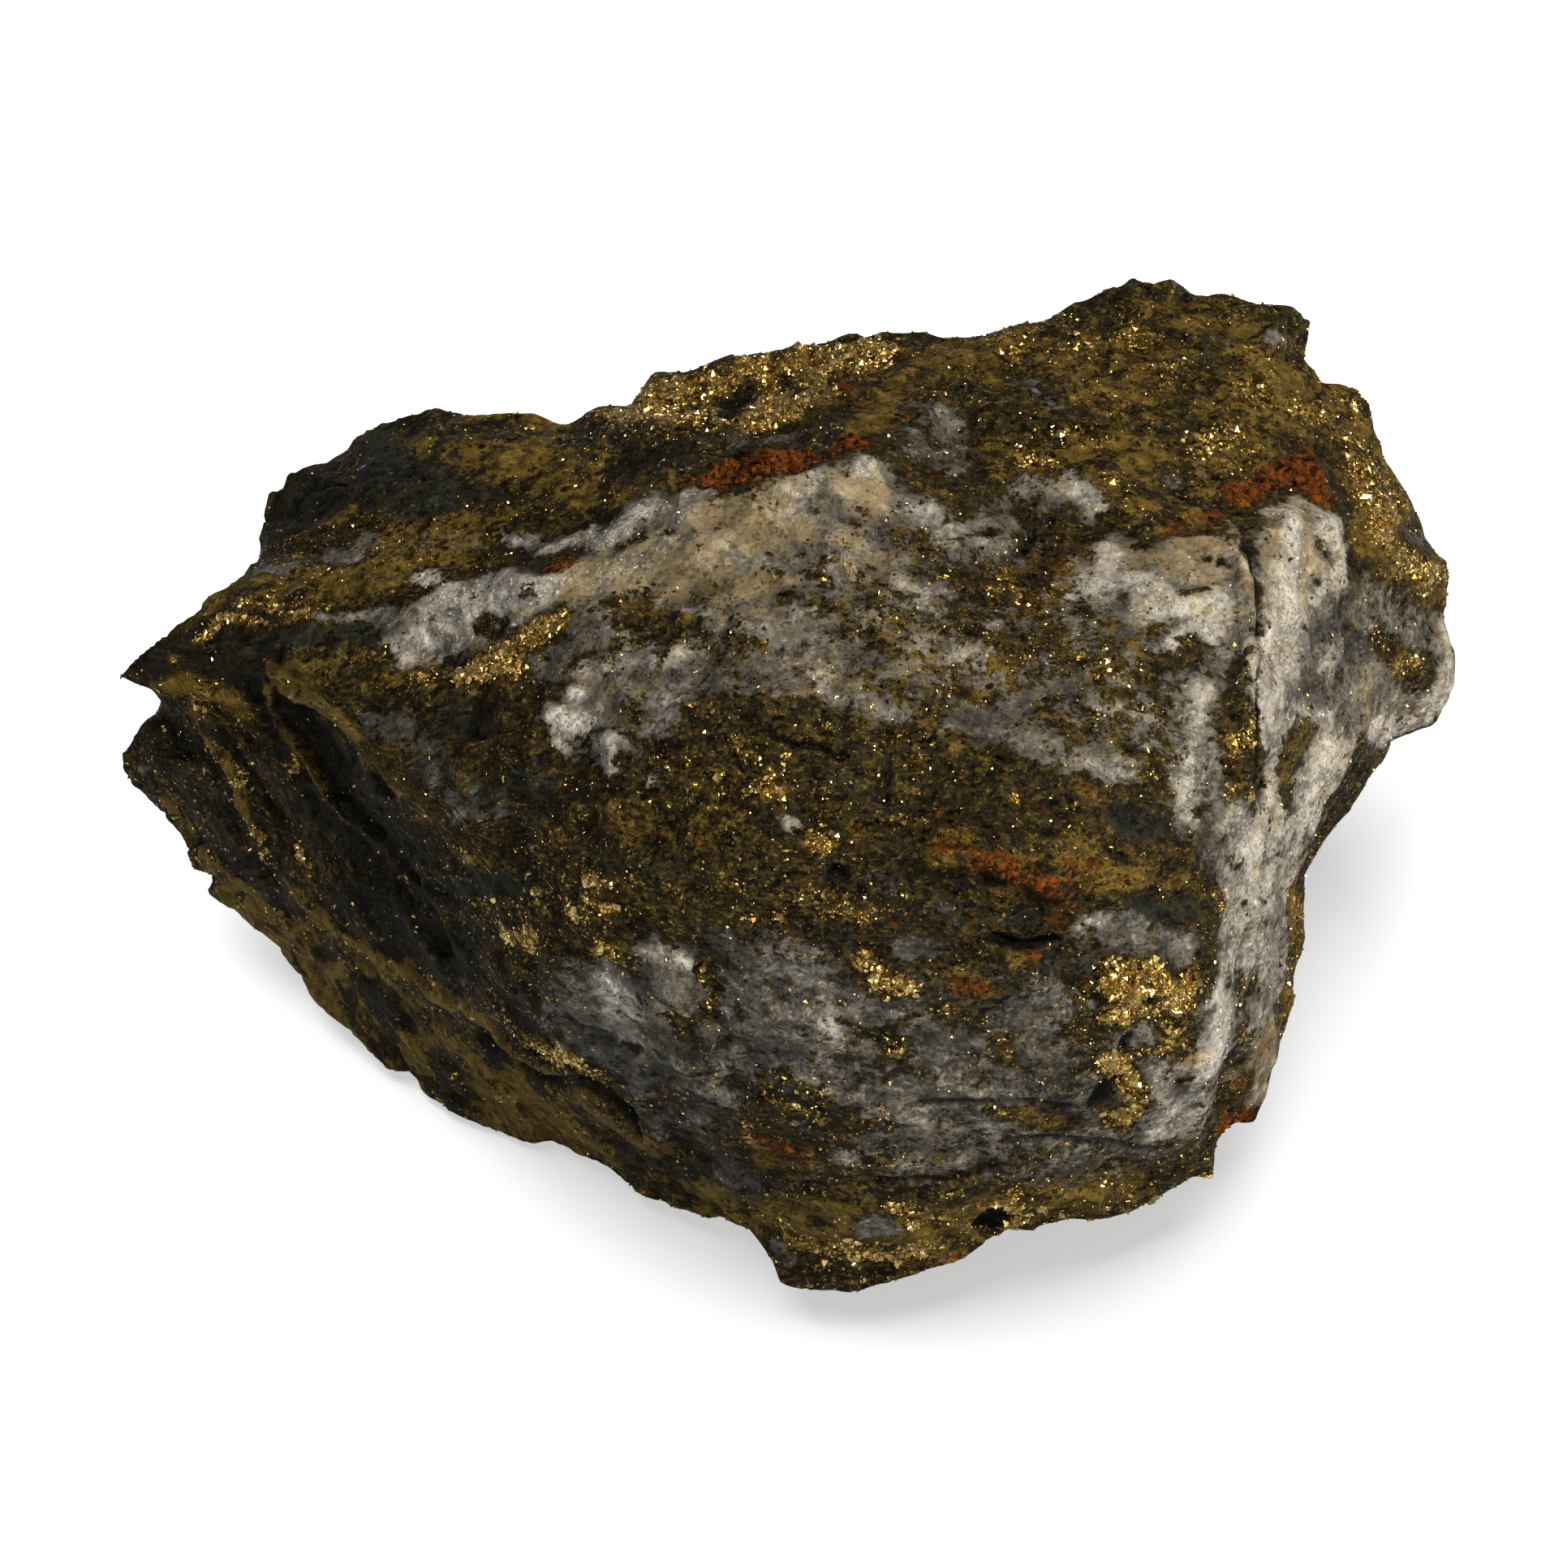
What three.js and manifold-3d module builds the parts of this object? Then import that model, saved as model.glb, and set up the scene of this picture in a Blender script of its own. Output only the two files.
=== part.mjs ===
// A hand specimen of massive quartz and fine-grained pyrite, about 102 mm long and broken on every side.
// It is one stone, so it is one closed solid. It lies on a small flat spot of its underside.
// Millimetres, +X along the stone, -Y to its broken front, +Z up, origin under the middle of the stone.

import * as THREE from "three";
import { ConvexHull } from "three/addons/math/ConvexHull.js";
import { ImprovedNoise } from "three/addons/math/ImprovedNoise.js";
import { mergeVertices } from "three/addons/utils/BufferGeometryUtils.js";
import Module from "manifold-3d";

// Driving dimensions in millimetres, and the lean of the front in degrees from upright.
const LEAN_BACK = 50;
const EYE_DISTANCE = 483;
const HEART_HEIGHT = 25.2;
const LONGEST_EDGE = 3.35;
const GROUND_BLOCK = 200;

// Lumps, ledges, pits and roughness: how wide each one is, and how far it stands out or goes in.
const LUMP = { width: 17, depth: 2.2 };
const LEDGE = { spacing: 5.2, depth: 0.6, rising: 0.75, waviness: 6, waveWidth: 24 };
const PIT = { width: 8, depth: 1.3, limit: 0.3, steepness: 3 };
const ROUGHNESS = { width: 3.6, depth: 0.62 };
const NOISE_SHIFT = 31.7;
const LAYER_NORMAL = new THREE.Vector3(0.3, -0.42, 0.86).normalize();

// The lumps start where the surface turns this far away from the front, as a cosine, and are full at the second.
const TURNED_AWAY = { start: 0.25, full: 0.6 };

// The look of the whole stone where one colour has to stand for it.
const STONE = { color: 0x5d5138, roughness: 0.62, metalness: 0.25 };

// The corners of the front are [across, up the leaning face, out of it] from the heart of the stone.
// The rim is where the stone turns away, from the left tip over the top and round to the left tip again.
const RIM_UPPER_LEFT = [
  [-50.2, 7.9, -6], [-48.7, 9.2, -6], [-45.8, 11.1, -5], [-43.5, 11.6, -4], [-43.2, 12.6, -5],
  [-40.6, 15.2, -6], [-38.3, 17, -7],
];
const RIM_BACK_LOBE = [
  [-38.4, 19.4, -14], [-37.8, 21.7, -15], [-36.1, 23.2, -15], [-34.1, 24, -16], [-31.1, 26.2, -16],
  [-28.2, 27.2, -15], [-26.1, 27.9, -14], [-22, 27.5, -12], [-18.9, 27.8, -12], [-14.4, 28, -11],
];
const RIM_TOP = [
  [-11.7, 28.6, -10], [-9.8, 30.3, -10], [-6.3, 31.6, -10], [-0.9, 32.2, -9], [5.7, 33.2, -9],
  [9, 33.2, -8], [10.1, 33.8, -9], [13.8, 33.3, -9], [19.8, 34.7, -10], [23.6, 35.7, -11],
  [24.2, 37.2, -12], [28.1, 38.2, -12], [29.8, 38.6, -12], [31.5, 37.5, -12], [36.2, 36.7, -12],
];
const RIM_UPPER_RIGHT = [
  [38.3, 36, -12], [39.2, 34.4, -12], [38.8, 31.6, -12], [39.8, 29.8, -13], [42.4, 29.3, -14],
  [43.4, 28.3, -14], [44.1, 25, -14], [47, 20.5, -14], [49.1, 16.6, -14], [49.3, 15, -14],
  [48.8, 12.7, -13], [49.8, 9.5, -13], [49.6, 7.2, -13], [48.1, 4.3, -12],
];
const RIM_LOWER_RIGHT = [
  [45.3, 2.8, -11], [44, 1, -10], [41.1, -3.1, -8], [39.2, -6.4, -7], [38.3, -7.7, -6],
  [38.6, -10.7, -6], [37.9, -14.3, -5], [36.9, -20.1, -4], [36, -23, -4], [35, -25.3, -4],
  [33.5, -25.6, -3], [32, -26.3, -1], [31.7, -28.6, 0], [28.6, -30.5, 2],
];
const RIM_BOTTOM = [
  [23.7, -32.3, 4], [18.8, -33, 5], [16.9, -33.4, 5], [12, -35.3, 6], [8.4, -37.6, 6],
  [5.2, -38, 5], [1.6, -37.2, 4], [0, -36.7, 4], [-0.9, -35.2, 4], [-1.3, -33.8, 2],
  [-4.4, -32.6, -1], [-8.9, -31.1, -3], [-13.7, -28.1, -6], [-18.9, -26.5, -9],
];
const RIM_LOWER_LEFT = [
  [-21.9, -25.6, -10], [-24.8, -24.5, -11], [-26.4, -23, -12], [-27.8, -21.5, -12], [-30.6, -20.2, -13],
  [-34.1, -16.8, -14], [-35.3, -14, -15], [-36.8, -12.1, -15], [-39.2, -10.7, -15], [-42.5, -8, -15],
  [-42.5, -6.7, -14], [-43.7, -6.2, -14], [-43.8, -4.9, -14], [-45.8, -2.2, -13], [-48.5, -0.2, -12],
  [-49.2, 1.1, -11], [-48.9, 2.5, -10], [-48, 3.8, -9], [-47.1, 5.6, -8], [-48.7, 7, -7],
];

// The vein of white quartz stands up as a crest, with a groove behind it where softer ore has gone.
const QUARTZ_CREST = [
  [-29.1, 10.6, 4], [-24.3, 13.6, 7], [-19.5, 15.7, 9], [-14.1, 16.6, 11], [-9.9, 18.7, 12],
  [-7.5, 20.8, 13], [-2.1, 22.3, 14], [2.7, 23.8, 14], [7.5, 24.7, 12],
];
const CREST_GROOVE = [
  [-21.9, 16.6, 3], [-15.9, 18.4, 5], [-8.7, 22.6, 7], [-2.1, 23.8, 8], [5.1, 25.3, 8],
];

// Above the crest the stone slopes back to its upper rim.
const UPPER_SLOPE = [
  [-39.9, 13.6, -2], [-32.7, 16, 0], [-33.9, 12.4, 2], [-38.1, 11.2, 0], [-27.9, 19, -2],
  [-30.9, 22, -6], [-24.3, 22, -3], [-15.9, 23.2, -1], [-24.3, 25.6, -8], [-9.9, 26.2, 0],
  [-3.9, 28, -2], [2.1, 28.6, -1], [11.1, 28, 3], [17.1, 29.2, 0], [23.1, 31, -3],
  [29.1, 31.6, -4], [35.1, 31, -5], [26.1, 34, -8], [14.1, 31.6, -4], [38.1, 26.8, -3], [41.1, 25.6, -6],
];
const RIGHT_SHOULDER = [
  [11.1, 22, 12], [17.1, 22, 10], [23.1, 22, 10], [29.1, 22, 8], [18.3, 16.6, 14],
  [21.9, 18.4, 13], [28.5, 18.7, 13], [35.7, 22.6, 4], [39.3, 22, 3],
];

// A lip runs down the right of the front, and the right side falls away behind it.
const RIGHT_LIP = [
  [33.8, 18.1, 14], [34.8, 14.8, 17], [35.1, 10.6, 18], [35.3, 6.4, 19], [35.6, 1.6, 19],
];
const RIGHT_EDGE = [
  [32.1, 0.4, 21], [31.2, -5, 22], [31, -11, 21], [31.2, -17, 19], [31.5, -21.8, 14], [30.9, -26, 9],
];
const RIGHT_SIDE = [
  [38.1, 19.6, 9], [40.5, 19.6, 5], [38.1, 14.8, 10], [41.1, 14.8, 5], [45.3, 16, -3],
  [38.1, 8.8, 11], [42.9, 8.8, 2], [46.5, 10, -5], [38.1, 2.8, 11], [42.9, 4, 1],
  [38.1, -2.6, 8], [35.7, -3.2, 14], [36.3, -8, 8], [35.7, -12.8, 8], [35.1, -17.6, 7],
  [34.5, -21.8, 4], [43.5, 24.4, -7], [42.9, 19.6, -2],
];

// The broad front: it swells to a ledge at its middle and falls in under it to the lower tip.
const FRONT_UPPER = [
  [-21.9, 8.2, 12], [-15.9, 10, 16], [-9.9, 11.2, 18], [-3.9, 13.6, 19], [2.1, 14.8, 19],
  [8.1, 16, 19], [14.1, 13.6, 20], [20.1, 12.4, 20], [26.1, 12.4, 20], [30.9, 11.2, 19],
];
const FRONT_MIDDLE = [
  [-18.9, 4, 17], [-12.9, 4, 21], [-6.9, 5.8, 23], [-0.9, 6.4, 25], [5.1, 5.8, 26],
  [11.1, 5.2, 26], [17.1, 4, 26], [23.1, 2.8, 25], [27.9, 1, 24], [-18.9, -2, 18],
  [-12.9, -2, 23], [-6.9, -2, 26], [-0.9, -0.8, 28], [5.1, -0.8, 28], [11.1, 0.4, 26],
  [17.1, -2, 28], [23.1, -2.6, 27], [27.3, -4.4, 26],
];
const FRONT_LEDGE = [
  [-15.9, -7.4, 22], [-9.9, -6.8, 26], [-3.9, -6.5, 29], [2.1, -6.2, 30], [8.1, -5.6, 30],
  [14.1, -5, 30], [20.1, -5.6, 29], [26.1, -6.8, 27],
];
const UNDER_LEDGE = [
  [2.1, -8.6, 28], [14.1, -9.2, 28], [20.1, -9.2, 27], [26.1, -9.8, 26],
];
const FRONT_LOWER = [
  [-15.9, -12.8, 21], [-9.9, -12.2, 24], [-3.9, -12.8, 26], [2.1, -12.8, 27], [8.1, -14, 27],
  [14.1, -15.2, 26], [20.1, -15.8, 25], [26.1, -15.2, 24], [-12.3, -18.2, 19], [-6.9, -18.8, 22],
  [-0.9, -18.8, 24], [5.1, -19.4, 24], [11.1, -20.6, 23], [17.1, -21.2, 22], [23.1, -21.8, 20],
  [27.9, -21.2, 18], [-5.7, -25.4, 15], [-0.3, -25.4, 18], [5.7, -26, 19], [11.7, -26.6, 18],
  [17.7, -26.6, 17], [23.1, -26, 15], [27.9, -26, 12], [-0.3, -30.8, 11], [5.1, -31.4, 13],
  [11.1, -31.4, 13], [17.1, -30.2, 12], [23.1, -29, 10],
];

// On the left two ridges run down to the lower tip, with a deep hollow between them.
const LEFT_RIDGE = [
  [-36.9, 10.3, 2], [-37.2, 8.2, 3], [-34.2, 5.8, 6], [-31.5, 3.1, 9], [-29.1, 0.1, 11],
  [-26.1, -2, 13], [-25.2, -4.7, 14], [-21.9, -6.5, 15], [-19.5, -8.6, 17], [-20.1, -14, 15],
  [-18.9, -18.2, 15], [-14.7, -21.2, 13], [-11.7, -23.6, 12], [-7.5, -27.8, 9], [-3.9, -30.8, 7],
];
const LEFT_HOLLOW = [
  [-35.7, 5.2, 1], [-32.7, 2.2, 2], [-30.9, -2, 3], [-27.9, -5.6, 4], [-29.1, -8.6, 2],
  [-24.3, -11, 6], [-21.9, -15.2, 9], [-33.9, -5, -1], [-30.9, -9.8, 0],
];
const OUTER_RIDGE = [
  [-41.1, 8.2, -1], [-44.1, 10, -3], [-44.7, 5.8, -4], [-43.5, 1.6, -6], [-39.9, 1, -3],
  [-36.6, 2.5, 1], [-34.2, -0.5, 1], [-42.3, -2.6, -8], [-38.1, -2.6, -4], [-36.9, -6.8, -5],
  [-32.7, -10.7, -3], [-27.9, -12.8, 0], [-24.3, -15.8, 4], [-19.5, -19.7, 8], [-15.9, -22.7, 9],
];
const LOWER_LEFT_FACE = [
  [-33.9, -13.4, -10], [-29.1, -17, -8], [-24.3, -20.6, -5], [-19.5, -23, -3], [-14.7, -25.4, -1],
  [-9.9, -27.8, 1], [-5.1, -30.8, 1],
];

// The back and the underside are [x, y, z] from the heart of the stone.
const BACK_FACE = [
  [-44, 17, -5], [-40, 23, -3], [-36, 27, -7], [-30, 32, -2], [-29, 28, -12], [-20, 33, 1],
  [-17, 30, -10], [-7, 34, 5], [-5, 33, -7], [7, 36.5, 6], [10, 34, -6], [21, 38.5, 7],
  [23, 35, -6], [34, 37.5, 4], [35, 32, -8], [42, 33, 0], [44, 26, -7], [47, 19, -8],
];
const UNDERSIDE = [
  [-44, 12, -10], [-38, 17, -14], [-40, 7, -15], [-31, 21, -16.5], [-31, 9, -20], [-31, 0, -22],
  [-20, 25, -18.5], [-8, 28, -18], [5, 28.5, -17.5], [18, 28, -16], [31, 24, -15], [40, 18, -13.5],
  [43, 13, -11], [38, 5, -16], [32, 16, -19], [34, -5, -18], [31, -13, -20], [28, -19, -21],
  [18, -23, -20.5], [6, -26, -21.5], [-4, -22, -23],
];
const REST_SHOULDER = [
  [-20, -5, -23.8], [-13, -12, -23.9], [-3, -15, -23.8], [9, -16, -23.4], [20, -11, -22.8],
  [27, -3, -21.8], [28, 7, -21], [22, 16, -20.8], [10, 21, -21.2], [-4, 21.5, -21.6],
  [-16, 17, -21.5], [-23, 7, -22.4],
];
const REST_SPOT = [
  [-6, 2, -26], [-3, -3, -26.1], [5, -5, -26.2], [12, -4, -26.1], [15, 2, -26], [13, 8, -26],
  [6, 10, -26.1], [-1, 8, -26.1], [5, 3, -26.6],
];

const LEANING_CORNERS = [
  RIM_UPPER_LEFT, RIM_BACK_LOBE, RIM_TOP, RIM_UPPER_RIGHT, RIM_LOWER_RIGHT, RIM_BOTTOM,
  RIM_LOWER_LEFT, QUARTZ_CREST, CREST_GROOVE, UPPER_SLOPE, RIGHT_SHOULDER, RIGHT_LIP, RIGHT_EDGE,
  RIGHT_SIDE, FRONT_UPPER, FRONT_MIDDLE, FRONT_LEDGE, UNDER_LEDGE, FRONT_LOWER, LEFT_RIDGE,
  LEFT_HOLLOW, OUTER_RIDGE, LOWER_LEFT_FACE,
].flat();
const UPRIGHT_CORNERS = [BACK_FACE, UNDERSIDE, REST_SHOULDER, REST_SPOT].flat();

const lean = THREE.MathUtils.degToRad(LEAN_BACK);
const UP_THE_FACE = new THREE.Vector3(0, Math.sin(lean), Math.cos(lean));
const OUT_OF_THE_FACE = new THREE.Vector3(0, -Math.cos(lean), Math.sin(lean));
const noise = new ImprovedNoise();

// A corner of the front as a point. What stands out is read wider from EYE_DISTANCE, so it is drawn in.
function leaningCorner([across, up, out]) {
  const narrowing = 1 - out / EYE_DISTANCE;
  return new THREE.Vector3(across * narrowing, 0, 0)
    .addScaledVector(UP_THE_FACE, up * narrowing)
    .addScaledVector(OUT_OF_THE_FACE, out);
}

// Joins the corners by flat triangles: two corners are neighbours if they are seen side by side from the heart.
function joinedCorners(corners) {
  const directions = corners.map((corner) => corner.clone().normalize());
  const places = new Map(directions.map((direction, index) => [direction, index]));
  const hull = new ConvexHull().setFromPoints(directions);
  return hull.faces.map((face) => {
    const second = face.edge.next;
    return [face.edge, second, second.next].map((edge) => places.get(edge.head().point));
  });
}

function edgeName(a, b) {
  return a < b ? `${a} ${b}` : `${b} ${a}`;
}

// The longest edge of a triangle, as its two corners and the corner opposite.
function longestEdge([a, b, c], points) {
  const edges = [[a, b, c], [b, c, a], [c, a, b]];
  const length = ([from, to]) => points[from].distanceTo(points[to]);
  return edges.sort((one, other) => length(other) - length(one))[0];
}

// Divides a triangle at each of its edges that has a middle point.
function divided(triangle, points, middles) {
  const [a, b, c] = triangle;
  const edges = [[a, b, c], [b, c, a], [c, a, b]].filter(([from, to]) => middles.has(edgeName(from, to)));
  if (edges.length === 0) return [triangle];
  const length = ([from, to]) => points[from].distanceTo(points[to]);
  const [from, to, opposite] = edges.sort((one, other) => length(other) - length(one))[0];
  const middle = middles.get(edgeName(from, to));
  return [[from, middle, opposite], [middle, to, opposite]].flatMap((half) => divided(half, points, middles));
}

// Halves the longest edge of every triangle until no edge is over the limit.
function splitLongEdges(points, triangles, limit) {
  const middles = new Map();
  for (const triangle of triangles) {
    const [from, to] = longestEdge(triangle, points);
    const name = edgeName(from, to);
    if (points[from].distanceTo(points[to]) <= limit || middles.has(name)) continue;
    middles.set(name, points.length);
    points.push(points[from].clone().lerp(points[to], 0.5));
  }
  if (middles.size === 0) return triangles;
  const smaller = triangles.flatMap((triangle) => divided(triangle, points, middles));
  return splitLongEdges(points, smaller, limit);
}

// Noise of a given width, from -1 to 1, with finer noise on it.
function broken(point, width, octaves) {
  let sum = 0;
  for (let octave = 0; octave < octaves; octave++) {
    const scale = 2 ** octave / width;
    const shift = NOISE_SHIFT * (octave + 1);
    sum += noise.noise(point.x * scale + shift, point.y * scale + shift, point.z * scale + shift) / 2 ** octave;
  }
  return sum;
}

// Ledges where the layers of the ore break off: a slow rise and a quick fall, one after the other.
function ledges(point) {
  const depth = point.dot(LAYER_NORMAL) + LEDGE.waviness * broken(point, LEDGE.waveWidth, 2);
  const place = depth / LEDGE.spacing - Math.floor(depth / LEDGE.spacing);
  const rise = place < LEDGE.rising ? place / LEDGE.rising : (1 - place) / (1 - LEDGE.rising);
  return LEDGE.depth * (rise - 0.5);
}

// Pits where grains have fallen out, only where the noise is over its limit.
function pits(point) {
  const over = broken(point, PIT.width, 1) - PIT.limit;
  return over > 0 ? -PIT.depth * Math.min(1, over * PIT.steepness) : 0;
}

// Moves a point out or in along its line from the heart, so that the skin can't cross itself.
function brokenSkin(point) {
  const towardsFace = point.dot(OUT_OF_THE_FACE) / point.length();
  const hidden = THREE.MathUtils.smoothstep(-towardsFace, TURNED_AWAY.start, TURNED_AWAY.full);
  const lumps = hidden * LUMP.depth * broken(point, LUMP.width, 2);
  const relief = lumps + ledges(point) + pits(point) + ROUGHNESS.depth * broken(point, ROUGHNESS.width, 2);
  return point.clone().multiplyScalar(1 + relief / point.length());
}

function geometryOf(points, triangles) {
  const geometry = new THREE.BufferGeometry();
  geometry.setAttribute("position", new THREE.Float32BufferAttribute(points.flatMap((p) => p.toArray()), 3));
  geometry.setIndex(triangles.flat());
  return geometry;
}

const wasm = await Module();
wasm.setup();

function solidOf(geometry) {
  return new wasm.Manifold(
    new wasm.Mesh({
      numProp: 3,
      vertProperties: geometry.getAttribute("position").array,
      triVerts: new Uint32Array(geometry.index.array),
    }),
  );
}

// Cuts the stone off flat where it rests.
function cutFlat(geometry) {
  const ground = new THREE.BoxGeometry(GROUND_BLOCK, GROUND_BLOCK, GROUND_BLOCK);
  ground.deleteAttribute("normal");
  ground.deleteAttribute("uv");
  const block = mergeVertices(ground.translate(0, 0, -HEART_HEIGHT - GROUND_BLOCK / 2));
  const cut = solidOf(geometry).subtract(solidOf(block)).getMesh();
  const flat = new THREE.BufferGeometry();
  flat.setAttribute("position", new THREE.BufferAttribute(cut.vertProperties, cut.numProp));
  flat.setIndex(new THREE.BufferAttribute(cut.triVerts, 1));
  return flat;
}

function stoneGeometry() {
  const corners = [
    ...LEANING_CORNERS.map(leaningCorner),
    ...UPRIGHT_CORNERS.map((corner) => new THREE.Vector3(...corner)),
  ];
  const triangles = splitLongEdges(corners, joinedCorners(corners), LONGEST_EDGE);
  const geometry = cutFlat(geometryOf(corners.map(brokenSkin), triangles));
  geometry.computeBoundingBox();
  const middle = geometry.boundingBox.getCenter(new THREE.Vector3());
  geometry.translate(-middle.x, -middle.y, HEART_HEIGHT);
  geometry.computeVertexNormals();
  return geometry;
}

const stone = new THREE.Mesh(stoneGeometry(), new THREE.MeshStandardMaterial(STONE));
stone.name = "quartz_pyrite_rock";

const specimen = new THREE.Group();
specimen.add(stone);

export default specimen;
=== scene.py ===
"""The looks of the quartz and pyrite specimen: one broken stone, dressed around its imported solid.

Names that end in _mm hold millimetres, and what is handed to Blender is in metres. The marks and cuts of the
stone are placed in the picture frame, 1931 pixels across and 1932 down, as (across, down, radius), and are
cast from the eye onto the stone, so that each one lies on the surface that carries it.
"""

import logging
import math
from dataclasses import dataclass
from enum import Enum

import bpy
import numpy as np
from mathutils import Matrix, Vector, noise
from mathutils.bvhtree import BVHTree


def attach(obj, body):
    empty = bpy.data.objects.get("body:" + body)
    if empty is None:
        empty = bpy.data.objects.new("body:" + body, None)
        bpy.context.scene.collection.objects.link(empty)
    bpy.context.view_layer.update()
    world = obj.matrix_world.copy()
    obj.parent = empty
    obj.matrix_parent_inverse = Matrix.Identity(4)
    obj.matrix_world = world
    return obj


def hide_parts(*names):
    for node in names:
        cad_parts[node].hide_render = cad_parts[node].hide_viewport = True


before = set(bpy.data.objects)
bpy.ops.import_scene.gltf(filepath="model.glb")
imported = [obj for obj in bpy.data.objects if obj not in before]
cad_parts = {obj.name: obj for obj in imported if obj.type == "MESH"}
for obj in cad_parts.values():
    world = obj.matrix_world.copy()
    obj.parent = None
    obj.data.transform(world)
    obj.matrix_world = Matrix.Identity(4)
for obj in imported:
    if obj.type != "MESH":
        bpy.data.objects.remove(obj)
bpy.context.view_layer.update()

STONE_NODE = "quartz_pyrite_rock"
BODY = "root"
METRES_PER_MM = 0.001

log = logging.getLogger("specimen")

Point = tuple[float, float, float]
Path = tuple[Point, ...]
Colour = tuple[float, float, float]
Thing = bpy.types.Object
Mesh = bpy.types.Mesh
Node = bpy.types.Node
Socket = bpy.types.NodeSocket


class Field(Enum):
    """What is stored at each point of the stone, by its place in a paint's numbers."""

    QUARTZ = 0
    WARMTH = 1
    MILK = 2
    PYRITE = 3
    OCHRE = 4
    RUST = 5
    DARK = 6
    SLATE = 7


class Paint(Enum):
    """The kinds of ground that the stone shows: quartz, warmth, milk, pyrite, ochre, rust, dark, slate."""

    GROUND = (0.0, 0.0, 0.0, 0.25, 0.22, 0.0, 0.12, 0.0)
    SHADY_GROUND = (0.02, 0.0, 0.1, 0.25, 0.2, 0.0, 0.45, 0.3)
    RICH_GROUND = (0.1, 0.0, 0.2, 0.5, 0.5, 0.0, 0.05, 0.0)
    CREAM = (1.0, 0.85, 0.46, 0.0, 0.0, 0.0, 0.0, 0.0)
    TAN_QUARTZ = (0.95, 1.0, 0.2, 0.0, 0.1, 0.0, 0.0, 0.0)
    MILKY = (0.97, 0.4, 0.68, 0.02, 0.0, 0.0, 0.0, 0.0)
    SNOW = (1.0, 0.15, 1.0, 0.0, 0.0, 0.0, 0.0, 0.0)
    PALE = (0.85, 0.2, 0.45, 0.08, 0.0, 0.0, 0.5, 0.2)
    GREY = (0.86, 0.2, 0.33, 0.08, 0.0, 0.0, 0.5, 0.2)
    BELT = (0.78, 0.42, 0.33, 0.2, 0.35, 0.0, 0.2, 0.0)
    SMOKY = (0.8, 0.05, 0.1, 0.08, 0.0, 0.0, 0.6, 0.2)
    LOWER_QUARTZ = (0.6, 0.1, 0.2, 0.25, 0.05, 0.0, 0.65, 0.4)
    MOTTLED = (0.5, 0.12, 0.3, 0.3, 0.15, 0.0, 0.15, 0.0)
    MIXED_STREAKS = (0.3, 0.2, 0.3, 0.4, 0.65, 0.0, 0.1, 0.1)
    GOLD = (0.0, 0.0, 0.0, 1.0, 0.3, 0.0, 0.0, 0.0)
    GLINTING = (0.02, 0.0, 0.2, 0.6, 0.2, 0.0, 0.2, 0.0)
    OCHRE = (0.02, 0.0, 0.0, 0.1, 0.85, 0.0, 0.12, 0.0)
    SMUDGE = (0.42, 0.3, 0.3, 0.45, 0.35, 0.0, 0.1, 0.0)
    TAN_RIDGE = (0.3, 1.0, 0.3, 0.2, 1.0, 0.0, 0.0, 0.0)
    OLIVE_BAND = (0.15, 0.6, 0.2, 0.4, 0.85, 0.0, 0.0, 0.0)
    STREAKED = (0.08, 0.1, 0.2, 0.2, 0.62, 0.0, 0.1, 0.0)
    GLINTING_OCHRE = (0.05, 0.2, 0.2, 0.55, 0.8, 0.0, 0.05, 0.0)
    RUST = (0.0, 0.0, 0.0, 0.0, 0.3, 1.0, 0.0, 0.0)
    STAINED = (0.0, 0.0, 0.0, 0.1, 0.6, 0.5, 0.0, 0.0)
    # DARK is black rock, and where it is laid along cracks, in pits and under ledges it is painted shade.
    DARK = (0.0, 0.0, 0.0, 0.06, 0.05, 0.0, 0.92, 0.1)
    SLATE = (0.0, 0.0, 0.0, 0.05, 0.05, 0.0, 0.3, 0.95)


@dataclass(frozen=True)
class Mark:
    """Patches or streaks of one kind of ground, each along a path of its own in the picture frame."""

    paint: Paint
    paths: tuple[Path, ...]
    strength: float = 1.0


@dataclass(frozen=True)
class Cut:
    """Cracks, grooves or hollows of one depth, each along a path; a negative depth raises a lip."""

    depth_mm: float
    paths: tuple[Path, ...]


def mark(paint: Paint, *path: Point, strength: float = 1.0) -> Mark:
    """Returns one patch or streak along the points given."""
    return Mark(paint, (path,), strength)


def marks(paint: Paint, *paths: Path, strength: float = 1.0) -> Mark:
    """Returns several patches or streaks of one kind, with a path for each."""
    return Mark(paint, paths, strength)


def spots(paint: Paint, *places: Point, strength: float = 1.0) -> Mark:
    """Returns round spots of one kind, one at each point given."""
    return Mark(paint, tuple((place,) for place in places), strength)


def cut(depth_mm: float, *path: Point) -> Cut:
    """Returns one cut of that depth along the points given."""
    return Cut(depth_mm, (path,))


def cuts(depth_mm: float, *paths: Path) -> Cut:
    """Returns several cuts of the same depth, with a path for each."""
    return Cut(depth_mm, paths)


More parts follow.
